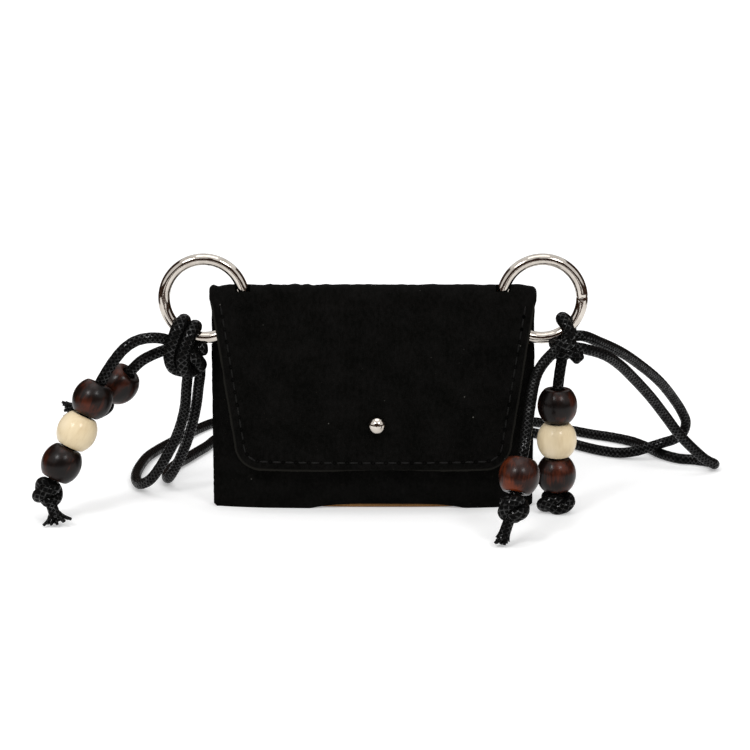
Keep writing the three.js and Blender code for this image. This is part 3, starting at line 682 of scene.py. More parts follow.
# %% [markdown]
# A grid whose points are moved row by row keeps its order, so the row and column of every point are
# known. The map of each sheet is laid out in metres, as the flat leather was cut, for the nap to
# follow. A sheet has no thickness until Solidify gives it one, the same on both sides of its middle.

# %% Make a sheet from a grid
def grid_sheet(name, columns, rows, place, flat):
    """A grid of columns by rows, each point put where place says, with flat as its map."""
    deselect_all()
    bpy.ops.mesh.primitive_grid_add(x_subdivisions=len(columns) - 1, y_subdivisions=len(rows) - 1)
    piece = bpy.context.object
    piece.name = name
    points = [place(u, row) for row in rows for u in columns]
    piece.data.vertices.foreach_set("co", np.array(points, np.float32).ravel())
    cut = np.array([flat(u, row) for row in rows for u in columns], np.float32)
    sheet_map = piece.data.uv_layers[0]
    sheet_map.name = "sheet_map"
    corners = np.zeros(len(piece.data.loops), np.int32)
    piece.data.loops.foreach_get("vertex_index", corners)
    sheet_map.data.foreach_set("uv", cut[corners].ravel())
    piece.data.polygons.foreach_set("use_smooth", [True] * len(piece.data.polygons))
    piece.data.update()
    return piece


def thicken(piece, thickness, rim):
    """Gives a sheet its thickness and rounds its cut edges, and leaves both live."""
    solid = piece.modifiers.new("thickness", "SOLIDIFY")
    solid.thickness = thickness
    solid.offset = 0
    solid.use_even_offset = True
    edges = piece.modifiers.new("edges", "BEVEL")
    edges.width = rim
    edges.segments = 2
    edges.limit_method = "ANGLE"
    edges.angle_limit = math.radians(60)


# %% [markdown]
# The wrap's rows run up the back, round the fold and down the flap. The fold is a half round, and the
# flap's last rows crowd together where its corners turn. The edges wander a little, as cut suede does.

# %% Model the wrap
def corner_rows(count):
    """The flap's last rows, close together where its corners turn."""
    turns = np.linspace(0, math.pi / 2, count)
    return [("flap", flap_bottom + corner_radius * (1 - math.sin(t))) for t in turns]


suede_thickness = 0.001
fold_radius = 0.0046
back_y = back_outer_y - suede_thickness / 2
flap_y = fold_centre_y - fold_radius
slot_edges = (0.0378, 0.0424)
wrap_rows = [("back", z) for z in np.linspace(0, fold_height, 64)[:-1]]
wrap_rows += [("fold", t) for t in np.linspace(0, math.pi, 25)[:-1]]
wrap_rows += [("flap", z) for z in np.linspace(fold_height, corner_top, 52)[:-1]]
wrap_rows += corner_rows(17)
wide = np.linspace(-half_width, half_width, 121)
wide = np.array([min(slot_edges, key=lambda e: abs(e - abs(x))) * np.sign(x)
                 if min(abs(abs(x) - e) for e in slot_edges) < 0.00042 else x for x in wide])
edge_columns = [side * (half_width - inset) for side in (-1, 1) for inset in (0.0001, 0.0003, 0.0006)]
wrap_columns = sorted(set(wide.tolist() + edge_columns))


def wander(along, seed):
    return 0.00016 * noise.noise(Vector((along * 300, seed, 0))) + 0.0001 * noise.noise(
        Vector((along * 900, seed, 3)))


def fold_unevenness(x):
    """The fold's ridge is not quite level: a dip at the left, a slope at the right, and the nap."""
    dip = 0.0005 * math.exp(-((x + 0.0475) / 0.0018) ** 2)
    slope = 0.0006 * max(0, (x - 0.0445) / 0.0055)
    rough = 0.00035 if x < -0.015 else 0.00018
    nap = 0.0003 * noise.noise(Vector((x * 190, 0, 2))) + rough * noise.noise(Vector((x * 520, 0, 5)))
    return nap - dip - slope


def rounded_off(u, reach, drop):
    """How far a corner of the pouch is rounded off, this near its side."""
    inside = min(1, (half_width - abs(u)) / reach)
    return drop * (1 - math.sqrt(max(0, 1 - (1 - inside) ** 2)))


def foot_corner(u):
    return rounded_off(u, 0.0011, 0.0010)


def wrap_place(u, row):
    kind, value = row
    if kind == "back":
        x = u * (1 + wander(value, 1 if u > 0 else 2) / half_width)
        z = value + foot_corner(u) * (1 - min(1, value / foot_height))
        return (x, depth_shift + back_y + softness(x, value, 9) * (value < 0.06), z)
    if kind == "fold":
        narrow = 1 - 0.008 * value / math.pi
        x = u * narrow * (1 + wander(value * fold_radius, 5 if u > 0 else 6) / half_width)
        puff = (fold_unevenness(x) - rounded_off(u, 0.0012, 0.0012)) * math.sin(value)
        return (x, depth_shift + fold_centre_y + (fold_radius + puff) * math.cos(value),
                fold_height + (fold_radius + puff) * math.sin(value))
    x = u / half_width * flap_half_width(value) * (1 + wander(value, 7 if u > 0 else 8) / half_width)
    low = max(0, 1 - (value - flap_bottom) / corner_radius)
    z = value + low * (0.0006 * math.exp(-((x - 0.004) / 0.015) ** 2) + wander(x, 11))
    ease = min(1, (fold_height - value) / 0.01)
    return (x, depth_shift + flap_y - flap_bulge(x, value) - ease * softness(x, value, 1), z)


def wrap_flat(u, row):
    kind, value = row
    if kind == "back":
        return (u, value)
    if kind == "fold":
        return (u, fold_height + value * fold_radius)
    return (u / half_width * flap_half_width(value),
            fold_height + math.pi * fold_radius + fold_height - value)


wrap = grid_sheet("suede_wrap", wrap_columns, wrap_rows, wrap_place, wrap_flat)
print("wrap", len(wrap_columns), "columns,", len(wrap_rows), "rows")

# %% [markdown]
# Two slots in the fold let the rings through, and a hole in the flap goes over the ball. Both are cut
# by deleting faces. The points on the hole's rim are then moved onto a true circle.

# %% Cut the slots and the stud's hole
hole_radius = 0.0024
flap_only_y = -0.006
slot_depth = (-0.0052, -0.0011)


def cut_faces(piece, inside):
    """Deletes the faces whose middle is inside."""
    deselect_all()
    bpy.context.view_layer.objects.active = piece
    piece.select_set(True)
    for face in piece.data.polygons:
        face.select = bool(inside(face.center))
    count = sum(face.select for face in piece.data.polygons)
    bpy.ops.object.mode_set(mode="EDIT")
    bpy.ops.mesh.select_mode(type="FACE")
    bpy.ops.mesh.delete(type="FACE")
    bpy.ops.object.mode_set(mode="OBJECT")
    return count


def in_slot(centre):
    in_depth = slot_depth[0] < centre.y - depth_shift < slot_depth[1]
    return centre.z > fold_height + 0.0006 and in_depth and slot_edges[0] < abs(centre.x) < slot_edges[1]


def from_stud(centre):
    return math.hypot(centre.x - stud_x, centre.z - stud_height)


def in_hole(centre):
    return centre.y - depth_shift < flap_only_y and from_stud(centre) < hole_radius


def round_hole(piece):
    """Moves the rim of the stud's hole onto a circle."""
    uses = {}
    for face in piece.data.polygons:
        for key in face.edge_keys:
            uses[key] = uses.get(key, 0) + 1
    rim = {i for key, count in uses.items() if count == 1 for i in key}
    for i in rim:
        point = piece.data.vertices[i].co
        away = Vector((point.x - stud_x, 0, point.z - stud_height))
        if point.y - depth_shift < flap_only_y and away.length < 2 * hole_radius:
            away = away.normalized() * hole_radius
            point.x, point.z = stud_x + away.x, stud_height + away.z


print("slot faces cut", cut_faces(wrap, in_slot), "and hole faces", cut_faces(wrap, in_hole))
round_hole(wrap)

# %% [markdown]
# The cut edge of the flap is painted as a paler line: partly its burnished edge, and partly a painted
# highlight where the rounded edge catches the light. The material needs to know how far each point is from
# that edge, so the distance is kept on the mesh, and the back and the fold get a large one. The flap turns
# on the fold.

# %% Finish the wrap
def flap_edge_distance(x, z):
    """How far inside the flap's outline a point lies."""
    straight = flap_half_width(corner_top)
    corner_x = straight - corner_radius
    if z < corner_top and abs(x) > corner_x:
        return corner_radius - math.hypot(abs(x) - corner_x, corner_top - z)
    return min(flap_half_width(max(z, corner_top)) - abs(x), z - flap_bottom)


far_from_edge = 0.02
edge_reading = wrap.data.attributes.new("edge_distance", "FLOAT", "POINT")
edge_reading.data.foreach_set("value", [
    max(0, flap_edge_distance(v.co.x, v.co.z))
    if v.co.y - depth_shift < flap_y + 0.0002 and v.co.z < fold_height + 0.0002 else far_from_edge
    for v in wrap.data.vertices])
thicken(wrap, suede_thickness, 0.0002)
print("wrap faces", len(wrap.data.polygons))

# %% [markdown]
# The front panel is a shorter sheet behind the flap. Its lower edge lifts a little in the middle,
# where the pale lining shows below it, and the stud's shank goes through it.

# %% Model the front panel
front_y = -0.0005
shank_hole = 0.0012
panel_columns = np.linspace(-half_width, half_width, 101).tolist()
panel_rows = np.linspace(mouth_height, foot_height, 56).tolist() + [0.002, 0.001, 0.0003, 0.0]


def strip_share(x):
    """1 where the pale lining shows below the front, 0 where the leather reaches the floor."""
    return max(0, 1 - ((x - 0.0045) / 0.0240) ** 4)


def panel_place(u, z):
    lift = (0.0015 * strip_share(u) + foot_corner(u)) * (1 - min(1, z / foot_height))
    x = u * (1 + wander(z, 21 if u > 0 else 22) / half_width)
    soft = softness(x, z, 30) * min(1, (half_width - abs(u)) / 0.01)
    return (x, depth_shift + front_y - bulge(u, z) - soft, z + lift)


front_panel = grid_sheet("suede_front_panel", panel_columns, panel_rows, panel_place, lambda u, z: (u, z))
cut_faces(front_panel, lambda centre: from_stud(centre) < shank_hole)
thicken(front_panel, suede_thickness, 0.0002)
print("front panel faces", len(front_panel.data.polygons))

# %% [markdown]
# The pocket is lined with thin tan suede: down the front wall, round the bottom and up the back, in one
# strip. A second strip lines the fold and the flap. Both sit a fraction of a millimetre inside the black
# suede, and both are sheets with live thickness.

# %% Line the pocket and the flap
lining_thickness = 0.0005
lining_half = half_width - 0.0017
lining_front_y, lining_back_y, lining_flap_y = 0.00055, 0.00145, -0.00565
lining_low = 0.0003
lining_shank_hole = 0.0014
lining_squareness = 0.45
pocket_lining_top = 0.0590
arch_radius = 0.00355
lining_columns = np.linspace(-lining_half, lining_half, 81).tolist()
pocket_rows = [("front", z) for z in np.linspace(mouth_height, foot_height, 40)]
pocket_rows += [("turn", math.pi * (3 * s * s - 2 * s ** 3)) for s in np.linspace(0, 1, 19)[1:-1]]
pocket_rows += [("back", z) for z in np.linspace(foot_height, pocket_lining_top, 40)]


def pocket_place(u, row):
    kind, value = row
    if kind == "front":
        return (u, depth_shift + lining_front_y - bulge(u, value), value)
    if kind == "back":
        return (u, depth_shift + lining_back_y, value)
    front = lining_front_y - bulge(u, 0)
    radius = (lining_back_y - front) / 2
    middle = (lining_back_y + front) / 2
    turned = abs(math.cos(value)) ** lining_squareness * (1 if value < math.pi / 2 else -1)
    sunk = math.sin(value) ** lining_squareness if value < math.pi else 0
    z = foot_height - (foot_height - lining_low) * sunk
    roll = 0.0010 * strip_share(u) * max(0, min(1, (0.0020 - z) / 0.0010)) * max(0, turned)
    return (u, depth_shift + middle - radius * turned - roll, z)


def pocket_flat(u, row):
    kind, value = row
    starts = {"front": -value, "turn": value * 0.003, "back": 0.010 + value}
    return (u, starts[kind])


pocket = grid_sheet("pocket_lining_suede", lining_columns, pocket_rows, pocket_place, pocket_flat)
cut_faces(pocket, lambda centre: centre.y < depth_shift - 0.003
          and from_stud(centre) < lining_shank_hole)
thicken(pocket, lining_thickness, 0.0001)

flap_lining_rows = [("back", z) for z in np.linspace(0.0594, fold_height, 8)[:-1]]
flap_lining_rows += [("fold", t) for t in np.linspace(0, math.pi, 19)]
flap_lining_rows += [("flap", z) for z in np.linspace(fold_height, corner_top, 46)[1:-1]]
flap_lining_rows += corner_rows(15)
lining_inset = 0.0010
lining_slot_edges, lining_slot_depth = (0.0362, 0.0442), (-0.0058, 0.0020)


def flap_lining_place(u, row):
    kind, value = row
    if kind == "back":
        return (u, depth_shift + lining_back_y, value)
    if kind == "fold":
        middle = (lining_back_y + lining_flap_y) / 2
        reach = (lining_back_y - lining_flap_y) / 2
        return (u, depth_shift + middle + reach * math.cos(value), fold_height + reach * math.sin(value))
    x = u / lining_half * (flap_half_width(value) - lining_inset)
    z = value + lining_inset * max(0, 1 - (value - flap_bottom) / corner_radius)
    return (x, depth_shift + lining_flap_y - flap_bulge(x, value), z)


def flap_lining_flat(u, row):
    kind, value = row
    starts = {"back": value, "fold": fold_height + value * arch_radius, "flap": 0.142 - value}
    return (u, starts[kind])


flap_lining = grid_sheet("flap_lining_suede", lining_columns, flap_lining_rows, flap_lining_place,
                         flap_lining_flat)


def in_lining_slot(centre):
    in_depth = lining_slot_depth[0] < centre.y - depth_shift < lining_slot_depth[1]
    in_width = lining_slot_edges[0] < abs(centre.x) < lining_slot_edges[1]
    return centre.z > fold_height - 0.0012 and in_depth and in_width


print("lining slots", cut_faces(flap_lining, in_lining_slot), "hole", cut_faces(flap_lining, in_hole))
round_hole(flap_lining)
thicken(flap_lining, lining_thickness, 0.0001)

# %% [markdown]
# A row of black stitches follows the flap's edge. Each stitch is a short, plump piece of thread that dips
# into the leather at both ends, and between two stitches the needle has left a hole. The hole is a shallow
# disc, and its darkness is painted shade. One stitch and one hole are modelled and copied along a line that
# keeps its distance from the edge.

# %% Model one stitch and one needle hole
stitch_inset = 0.0029
stitch_pitch = 0.0040
stitch_length = 0.0027
deselect_all()
bpy.ops.mesh.primitive_uv_sphere_add(segments=16, ring_count=8, radius=stitch_length / 2,
                                     rotation=(0, math.pi / 2, 0))
stitch = bpy.context.object
bpy.ops.object.transform_apply(location=False, rotation=True, scale=False)
bpy.ops.object.mode_set(mode="EDIT")
bpy.ops.transform.resize(value=(1, 0.22, 0.16))
bpy.ops.mesh.bisect(plane_co=(0, 0, -0.00006), plane_no=(0, 0, -1), clear_outer=True, use_fill=True)
bpy.ops.object.mode_set(mode="OBJECT")
bpy.ops.object.shade_smooth()
deselect_all()
bpy.ops.mesh.primitive_circle_add(vertices=12, radius=0.00052, fill_type="NGON")
needle_hole = bpy.context.object
bpy.ops.object.mode_set(mode="EDIT")
bpy.ops.mesh.inset(thickness=0.0001, depth=0)
bpy.ops.mesh.extrude_region_move(TRANSFORM_OT_translate={"value": (0, 0, -0.0001)})
bpy.ops.object.mode_set(mode="OBJECT")
print("stitch", len(stitch.data.polygons), "faces, hole", len(needle_hole.data.polygons))

# %% [markdown]
# The line of stitches is walked from the top of one side, round both corners and up to the top of the
# other. At each stitch the leather's slope gives the way it faces.

# %% Sew the flap
def inset_outline(inset):
    """Points of the flap's outline, drawn in by the inset, from one top corner to the other."""
    reach = corner_radius - inset
    side = [(flap_half_width(z) - inset, z) for z in np.linspace(fold_height - 0.002, corner_top, 60)]
    corner_x = flap_half_width(corner_top) - corner_radius
    turn = [(corner_x + reach * math.cos(t), corner_top - reach * math.sin(t))
            for t in np.linspace(0, math.pi / 2, 20)[1:]]
    right = side + turn
    left = [(-x, z) for x, z in reversed(right)]
    return np.array(right + left)


def flap_outer(x, z):
    return Vector((x, depth_shift + flap_y - suede_thickness / 2 - flap_bulge(x, z) - softness(x, z, 1), z))


def outline_at(reach):
    """The point of the stitch line that lies this far along it, as x and z."""
    return [float(np.interp(reach, along, outline[:, k])) for k in (0, 1)]


run_step, slope_step = 0.0004, 0.0005
lifts = {"stitch": 0.00004, "hole": 0.00009}
outline = inset_outline(stitch_inset)
along = reach_along(outline)
stitch_count = round(along[-1] / stitch_pitch)
places = {"stitch": np.linspace(0, along[-1], stitch_count + 1)}
places["hole"] = (places["stitch"][1:] + places["stitch"][:-1]) / 2
copies = []
for kind, model in (("stitch", stitch), ("hole", needle_hole)):
    for reach in places[kind]:
        x, z = outline_at(reach)
        point = flap_outer(x, z)
        ahead = flap_outer(*outline_at(reach + run_step))
        behind = flap_outer(*outline_at(reach - run_step))
        run = (ahead - behind).normalized()
        slope_x = flap_outer(x + slope_step, z) - flap_outer(x - slope_step, z)
        slope_z = flap_outer(x, z + slope_step) - flap_outer(x, z - slope_step)
        out = slope_x.cross(slope_z).normalized()
        out = -out if out.y > 0 else out
        side = out.cross(run).normalized()
        turn = Matrix((run, side, out)).transposed().to_4x4()
        piece = bpy.data.objects.new("sewn", model.data.copy())
        bpy.context.scene.collection.objects.link(piece)
        piece.data.transform(Matrix.Translation(point + out * lifts[kind]) @ turn)
        copies.append((kind, piece))


def joined(name, parts):
    """Joins parts into one mesh."""
    deselect_all()
    for part in parts:
        part.select_set(True)
    bpy.context.view_layer.objects.active = parts[0]
    bpy.ops.object.join()
    parts[0].name = name
    return parts[0]


stitches = joined("flap_stitches", [p for kind, p in copies if kind == "stitch"])
needle_hole_shades = joined("flap_needle_holes", [p for kind, p in copies if kind == "hole"])
bpy.data.objects.remove(stitch)
bpy.data.objects.remove(needle_hole)
print("stitches", stitch_count + 1)

# %% [markdown]
# The tie that holds the coil is a flat tape round both bundles of turns. A box is cut open at its two
# ends, its four long edges are rounded, and Solidify gives the tape its thickness inwards.

# %% Wrap the tie
tie_low, tie_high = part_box("coil_tie")
tie_thickness = 0.0006
deselect_all()
bpy.ops.mesh.primitive_cube_add(size=1, location=(tie_low + tie_high) / 2, scale=tie_high - tie_low)
tie = bpy.context.object
tie.name = "coil_tie_tape"
bpy.ops.object.transform_apply(location=True, rotation=True, scale=True)
for face in tie.data.polygons:
    face.select = abs(face.normal.y) > 0.9
bpy.ops.object.mode_set(mode="EDIT")
bpy.ops.mesh.select_mode(type="FACE")
bpy.ops.mesh.delete(type="ONLY_FACE")
bpy.ops.mesh.select_all(action="SELECT")
bpy.ops.mesh.subdivide(number_cuts=3)
bpy.ops.mesh.normals_make_consistent(inside=False)
bpy.ops.object.mode_set(mode="OBJECT")
apply_modifier(tie, "BEVEL", width=0.002, segments=6, limit_method="ANGLE", angle_limit=math.radians(60))
apply_modifier(tie, "SOLIDIFY", thickness=tie_thickness, offset=-1, use_even_offset=True)
bpy.ops.object.shade_smooth_by_angle(angle=math.radians(40))
print("tie", [round(v, 4) for v in tie.dimensions])

# %% [markdown]
# Finishes are built from nodes. One small class wraps a socket, so that sums on values can be written
# as plain Python, and each sum adds its Math node. Every other node comes from one method, which
# takes the node's type, its settings, and the values or links of its sockets.

# %% Write node sums in Python
class Reading:
    """A value that changes over a surface, and that can be used in sums."""

    def __init__(self, finish, socket):
        self.finish, self.socket = finish, socket

    def math(self, operation, first, second=0.0):
        return self.finish.node("ShaderNodeMath", {"operation": operation}, {0: first, 1: second})

    def __add__(self, other):
        return self.math("ADD", self, other)

    def __mul__(self, other):
        return self.math("MULTIPLY", self, other)

    def __sub__(self, other):
        return self.math("SUBTRACT", self, other)

    def __rsub__(self, other):
        return self.math("SUBTRACT", other, self)

    __radd__ = __add__
    __rmul__ = __mul__

    def sine(self):
        return self.math("SINE", self)

    def largest(self, other):
        return self.math("MAXIMUM", self, other)

    def neighbour(self, output):
        """Another output of the same node."""
        return Reading(self.finish, self.socket.node.outputs[output])


class Finish:
    """A material with one shader, and one method that adds nodes."""

    def __init__(self, name, **constants):
        self.material = bpy.data.materials.new(name)
        self.material.use_nodes = True
        self.nodes = self.material.node_tree.nodes
        self.links = self.material.node_tree.links
        self.shader = self.nodes["Principled BSDF"]
        for socket, value in constants.items():
            self.shader.inputs[socket.replace("_", " ")].default_value = value

    def connect(self, value, socket):
        if isinstance(value, Reading):
            self.links.new(value.socket, socket)
        else:
            socket.default_value = value

    def node(self, kind, settings=None, sockets=None, output=0):
        made = self.nodes.new(kind)
        for name, value in (settings or {}).items():
            if name == "stops":
                while len(made.color_ramp.elements) < len(value):
                    made.color_ramp.elements.new(0.5)
                for element, (position, colour) in zip(made.color_ramp.elements, value):
                    element.position, element.color = position, colour
            else:
                setattr(made, name, value)
        for name, value in (sockets or {}).items():
            self.connect(value, made.inputs[name])
        return Reading(self, made.outputs[output])

    def noise(self, place, scale, detail=2.0, roughness=0.5):
        sockets = {"Vector": place, "Scale": scale, "Detail": detail, "Roughness": roughness}
        return self.node("ShaderNodeTexNoise", {}, sockets, "Fac")

    def object_place(self):
        return self.node("ShaderNodeTexCoord", {}, {}, "Object")

    def stretched(self, place, scale):
        return self.node("ShaderNodeMapping", {}, {"Vector": place, "Scale": scale})

    def ramp(self, value, *stops):
        return self.node("ShaderNodeValToRGB", {"stops": stops}, {"Fac": value}, "Color")

    def mix(self, share, first, second):
        sockets = {"Factor": share, 6: first, 7: second}
        return self.node("ShaderNodeMix", {"data_type": "RGBA"}, sockets, 2)

    def set(self, **sockets):
        for name, value in sockets.items():
            self.connect(value, self.shader.inputs[name.replace("_", " ")])

    def bump(self, height, distance, strength=1.0):
        sockets = {"Height": height, "Distance": distance, "Strength": strength}
        self.set(Normal=self.node("ShaderNodeBump", {}, sockets, "Normal"))


def tone(red, green, blue):
    """A colour given by its 0 to 255 values on screen, as the renderer wants it."""
    straight = [c / 255 for c in (red, green, blue)]
    return (*[c / 12.92 if c <= 0.04045 else ((c + 0.055) / 1.055) ** 2.4 for c in straight], 1.0)


def grey(level):
    return (level, level, level, 1.0)


# %% [markdown]
# Suede is the flesh side of a hide: a short, dense nap with no shine of its own. It is nearly black here, a
# little mottled where the nap lies another way, with a few flecks of pale lint. Where there is an edge
# reading, a paler line is painted from it, partly the burnished edge and partly a painted highlight, and
# the black is lifted to a dull grey.

# %% Make the suede
def suede_finish(name, dark, light, burnish_and_highlight_colour=None, lint=True):
    suede = Finish(name, Roughness=0.95, Specular_IOR_Level=0.03, Sheen_Weight=0.01, Sheen_Roughness=0.6)
    place = suede.node("ShaderNodeUVMap", {"uv_map": "sheet_map"}, {}, "UV")
    patches = suede.noise(place, 120, 3)
    nap = suede.noise(suede.stretched(place, (900, 520, 1)), 1, 4, 0.7)
    fibres = suede.noise(suede.stretched(place, (3200, 1800, 1)), 1, 3, 0.7)
    shade = patches * 0.35 + nap * 0.45 + fibres * 0.3
    colour = suede.ramp(shade, (0.46, dark), (0.70, light))
    if lint:
        cells = {"Vector": place, "Scale": 240}
        specks = suede.node("ShaderNodeTexVoronoi", {"feature": "F1"}, cells, "Distance")
        rare = suede.noise(place, 115, 1)
        speck = suede.ramp(specks, (0.040, grey(1)), (0.070, grey(0)))
        kept = suede.ramp(rare, (0.56, grey(0)), (0.60, grey(1)))
        colour = suede.mix(speck * kept * 0.6, colour, tone(104, 102, 97))
    # The paler line along the flap's cut edge is partly burnish and partly a painted highlight.
    if burnish_and_highlight_colour:
        edge = suede.node("ShaderNodeAttribute", {"attribute_name": "edge_distance"}, {}, "Fac")
        wavy = edge + (nap - 0.5) * 0.0005
        line = suede.ramp(wavy * 1000, (0.45, grey(1)), (0.75, grey(0)))
        colour = suede.mix(line * (nap * 0.5 + 0.6), colour, burnish_and_highlight_colour)
    suede.set(Base_Color=colour)
    suede.bump(nap * 0.5 + fibres * 0.5 + patches * 0.3, 0.00025, 0.8)
    return suede.material


black_suede = suede_finish("black_suede", tone(3, 3, 2), tone(15, 14, 13))
flap_suede = suede_finish("black_flap_suede", tone(3, 3, 2), tone(15, 14, 13), tone(28, 27, 24))
tan_suede = suede_finish("tan_lining_suede", tone(132, 95, 57), tone(158, 117, 74), lint=False)

# %% [markdown]
# The cord is braided and waxed. Its map gives the place round and along it, and two families of
# slanting waves cross into diamonds. The wax catches the light on top of each strand and leaves the
# gaps dull, so the roughness follows the same braid.

# %% Make the waxed cord
def cord_finish(name, dark, light, rough):
    cord = Finish(name, Specular_IOR_Level=0.05, Coat_Roughness=0.16)
    place = cord.node("ShaderNodeUVMap", {"uv_map": "cord_map"}, {}, "UV")
    parts = cord.node("ShaderNodeSeparateXYZ", {}, {"Vector": place}, "X")
    round_it = parts * (2 * math.pi * 6)
    along_it = parts.neighbour("Y") * (2 * math.pi * 2 / braid_pitch)
    braid = (round_it + along_it).sine().largest((round_it - along_it).sine())
    on_cord = cord.object_place()
    wax = cord.noise(on_cord, 420, 3)
    fine = cord.noise(on_cord, 3600, 2)
    # The colour is paler on the strands' crowns and darker in the gaps between them, a painted highlight
    # and painted shade; the wax and fine noise vary it at random.
    cord.set(Base_Color=cord.ramp(braid * 0.25 + wax * 0.5 + fine * 0.35, (0.35, dark), (0.95, light)),
             Roughness=cord.ramp(braid * 0.3 + wax * 0.6, (0.2, grey(rough + 0.30)), (0.75, grey(rough))))
    glint = cord.ramp(braid * 0.5 + wax * 0.45 + fine * 0.35, (0.74, grey(0.005)), (0.98, grey(0.9)))
    cord.set(Coat_Weight=glint)
    cord.bump(braid * 0.8 + wax * 0.25 + fine * 0.2, 0.00022, 1.0)
    return cord.material


waxed_cord = cord_finish("waxed_braided_cord", tone(3, 3, 3), tone(13, 12, 11), 0.44)
thread = Finish("sewing_thread", Roughness=0.6, Specular_IOR_Level=0.12)
twist = thread.noise(thread.object_place(), 2200, 2)
thread.set(Base_Color=thread.ramp(twist, (0.3, tone(8, 8, 7)), (0.7, tone(19, 18, 17))))
thread.bump(twist, 0.0001, 0.6)
# The needle holes are shallow discs, so their near-black colour is painted shade.
needle_shade = Finish("needle_hole_painted_shade", Roughness=1.0, Specular_IOR_Level=0.0)
hole_shade = needle_shade.noise(needle_shade.object_place(), 900)
needle_shade.set(Base_Color=needle_shade.ramp(hole_shade, (0.3, tone(1, 1, 1)), (0.7, tone(4, 4, 4))))

# %% [markdown]
# Polished nickel plate is a warm grey mirror with faint rubbing marks. The marks change its tone, its
# roughness and its slope a little, so the reflections break up where the ring has been handled.

# %% Make the nickel
nickel = Finish("polished_nickel", Metallic=1.0)
nickel_place = nickel.object_place()
rubbed = nickel.noise(nickel_place, 260, 3)
scratches = nickel.noise(nickel.stretched(nickel_place, (2400, 500, 2400)), 1, 2)
nickel.set(Base_Color=nickel.ramp(rubbed, (0.35, tone(182, 174, 165)), (0.7, tone(210, 203, 194))),
           Roughness=nickel.ramp(rubbed, (0.3, grey(0.05)), (0.75, grey(0.11))))
nickel.bump(scratches, 0.00002, 0.5)

# %% [markdown]
# The beads are lacquered wood. The grain is long noise along the bead's own axis, taken from the
# attribute that was kept on it. The dark wood has broad red-brown patches in nearly black brown, and
# the cream wood has only faint streaks. The lacquer is a thin clear coat.

# %% Make the woods
def wood_finish(name, tones, stops, rough, coat):
    wood = Finish(name, Specular_IOR_Level=0.16, Coat_Weight=coat, Coat_Roughness=0.14)
    place = wood.node("ShaderNodeAttribute", {"attribute_name": "grain_place"}, {}, "Vector")
    streaks = wood.noise(wood.stretched(place, (1500, 1500, 170)), 1, 4, 0.6)
    bands = wood.noise(wood.stretched(place, (330, 330, 60)), 1, 2)
    patches = wood.noise(place, 150, 1)
    pores = wood.noise(wood.stretched(place, (4200, 4200, 600)), 1, 2)
    share = streaks * 0.3 + bands * 0.3 + patches * 0.7
    wood.set(Base_Color=wood.ramp(share, *zip(stops, tones)),
             Roughness=wood.ramp(streaks, (0.3, grey(rough)), (0.7, grey(rough + 0.08))))
    wood.bump(streaks * 0.4 + pores * 0.3, 0.00004, 0.5)
    return wood.material


dark_wood = wood_finish("dark_lacquered_wood", (tone(11, 6, 5), tone(23, 11, 7), tone(78, 31, 13)),
                        (0.55, 0.66, 0.84), 0.28, 0.09)
red_wood = wood_finish("red_lacquered_wood", (tone(14, 7, 6), tone(42, 17, 9), tone(104, 44, 18)),
                       (0.55, 0.70, 0.88), 0.28, 0.09)
cream_wood = wood_finish("cream_lacquered_wood",
                         (tone(212, 190, 152), tone(226, 207, 171), tone(232, 214, 182)),
                         (0.45, 0.65, 0.85), 0.26, 0.30)

# %% [markdown]
# Each piece now gets its finish and says which solids it stands for, and most get the body that they move
# with. The wrap and the flap's lining cross the hinge, and get none.

# %% Put every piece on its body
def finish_piece(piece, material, slot, *nodes, body=None):
    piece.data.materials.clear()
    piece.data.materials.append(material)
    if nodes:
        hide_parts(*nodes)
    if body:
        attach(piece, body)


finish_piece(wrap, flap_suede, "suede", "back_panel", "flap")
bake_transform(wrap)
finish_piece(flap_lining, tan_suede, "lining", "flap_lining")
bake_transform(flap_lining)
finish_piece(front_panel, black_suede, "suede", "front_panel", body="root")
finish_piece(pocket, tan_suede, "lining", "pocket_lining", body="root")
finish_piece(stitches, thread.material, "suede", body="flap")
finish_piece(needle_hole_shades, needle_shade.material, "suede", body="flap")
finish_piece(stud, nickel.material, "nickel", "closure_stud", body="root")
finish_piece(screw, nickel.material, "nickel", "stud_screw", body="root")
finish_piece(tie, thread.material, "cord", "coil_tie", body="root")
for side_name, ring in ring_pieces.items():
    finish_piece(ring, nickel.material, "nickel", "ring_" + side_name, body="ring_" + side_name)
for name, piece in bead_pieces.items():
    wood = cream_wood if name.endswith("_2") else red_wood if name == "bead_right_4" else dark_wood
    finish_piece(piece, wood, "cream_wood" if wood is cream_wood else "dark_wood", name, body=name)

# %% [markdown]
# The cords get the waxed finish, and the strap cords' real lengths are listed. Each strap cord runs from
# the left ring's knot to the right ring's, coil and all. Each tail runs from a ring knot to its end knot.

strap_lengths = {"a": 1.13, "b": 1.08}
for knot, side_name in zip(ring_knots, ("left", "right")):
    finish_piece(knot, waxed_cord, "cord", "ring_knot_" + side_name, body="root")
for name, knot in end_knots.items():
    finish_piece(knot, waxed_cord, "cord", "tail_%s_knot" % name, body="root")
for fray in frays.values():
    finish_piece(fray, waxed_cord, "cord", body="root")
for piece, route, letter in zip(strap_pieces, strap_routes, strap_lengths):
    nodes = ("strap_%s_left" % letter, "strap_%s_right" % letter, "coil_" + letter)
    finish_piece(piece, waxed_cord, "cord", *nodes, body="root")
for name, (piece, route) in tail_cords.items():
    finish_piece(piece, waxed_cord, "cord", "tail_" + name, body="root")
    strung = [bead_pieces[b] for b in tails[name]["beads"]]
    [end_knots[name], *strung] + ([frays[name]] if name in frays else [])
print("cords", 2 + len(tail_cords))

# %% [markdown]
# The leather pieces are sheets too, and the area each was cut to is worked out. The wrap is the back, the
# fold's half round and the flap. The lining strips are a little narrower than the suede.

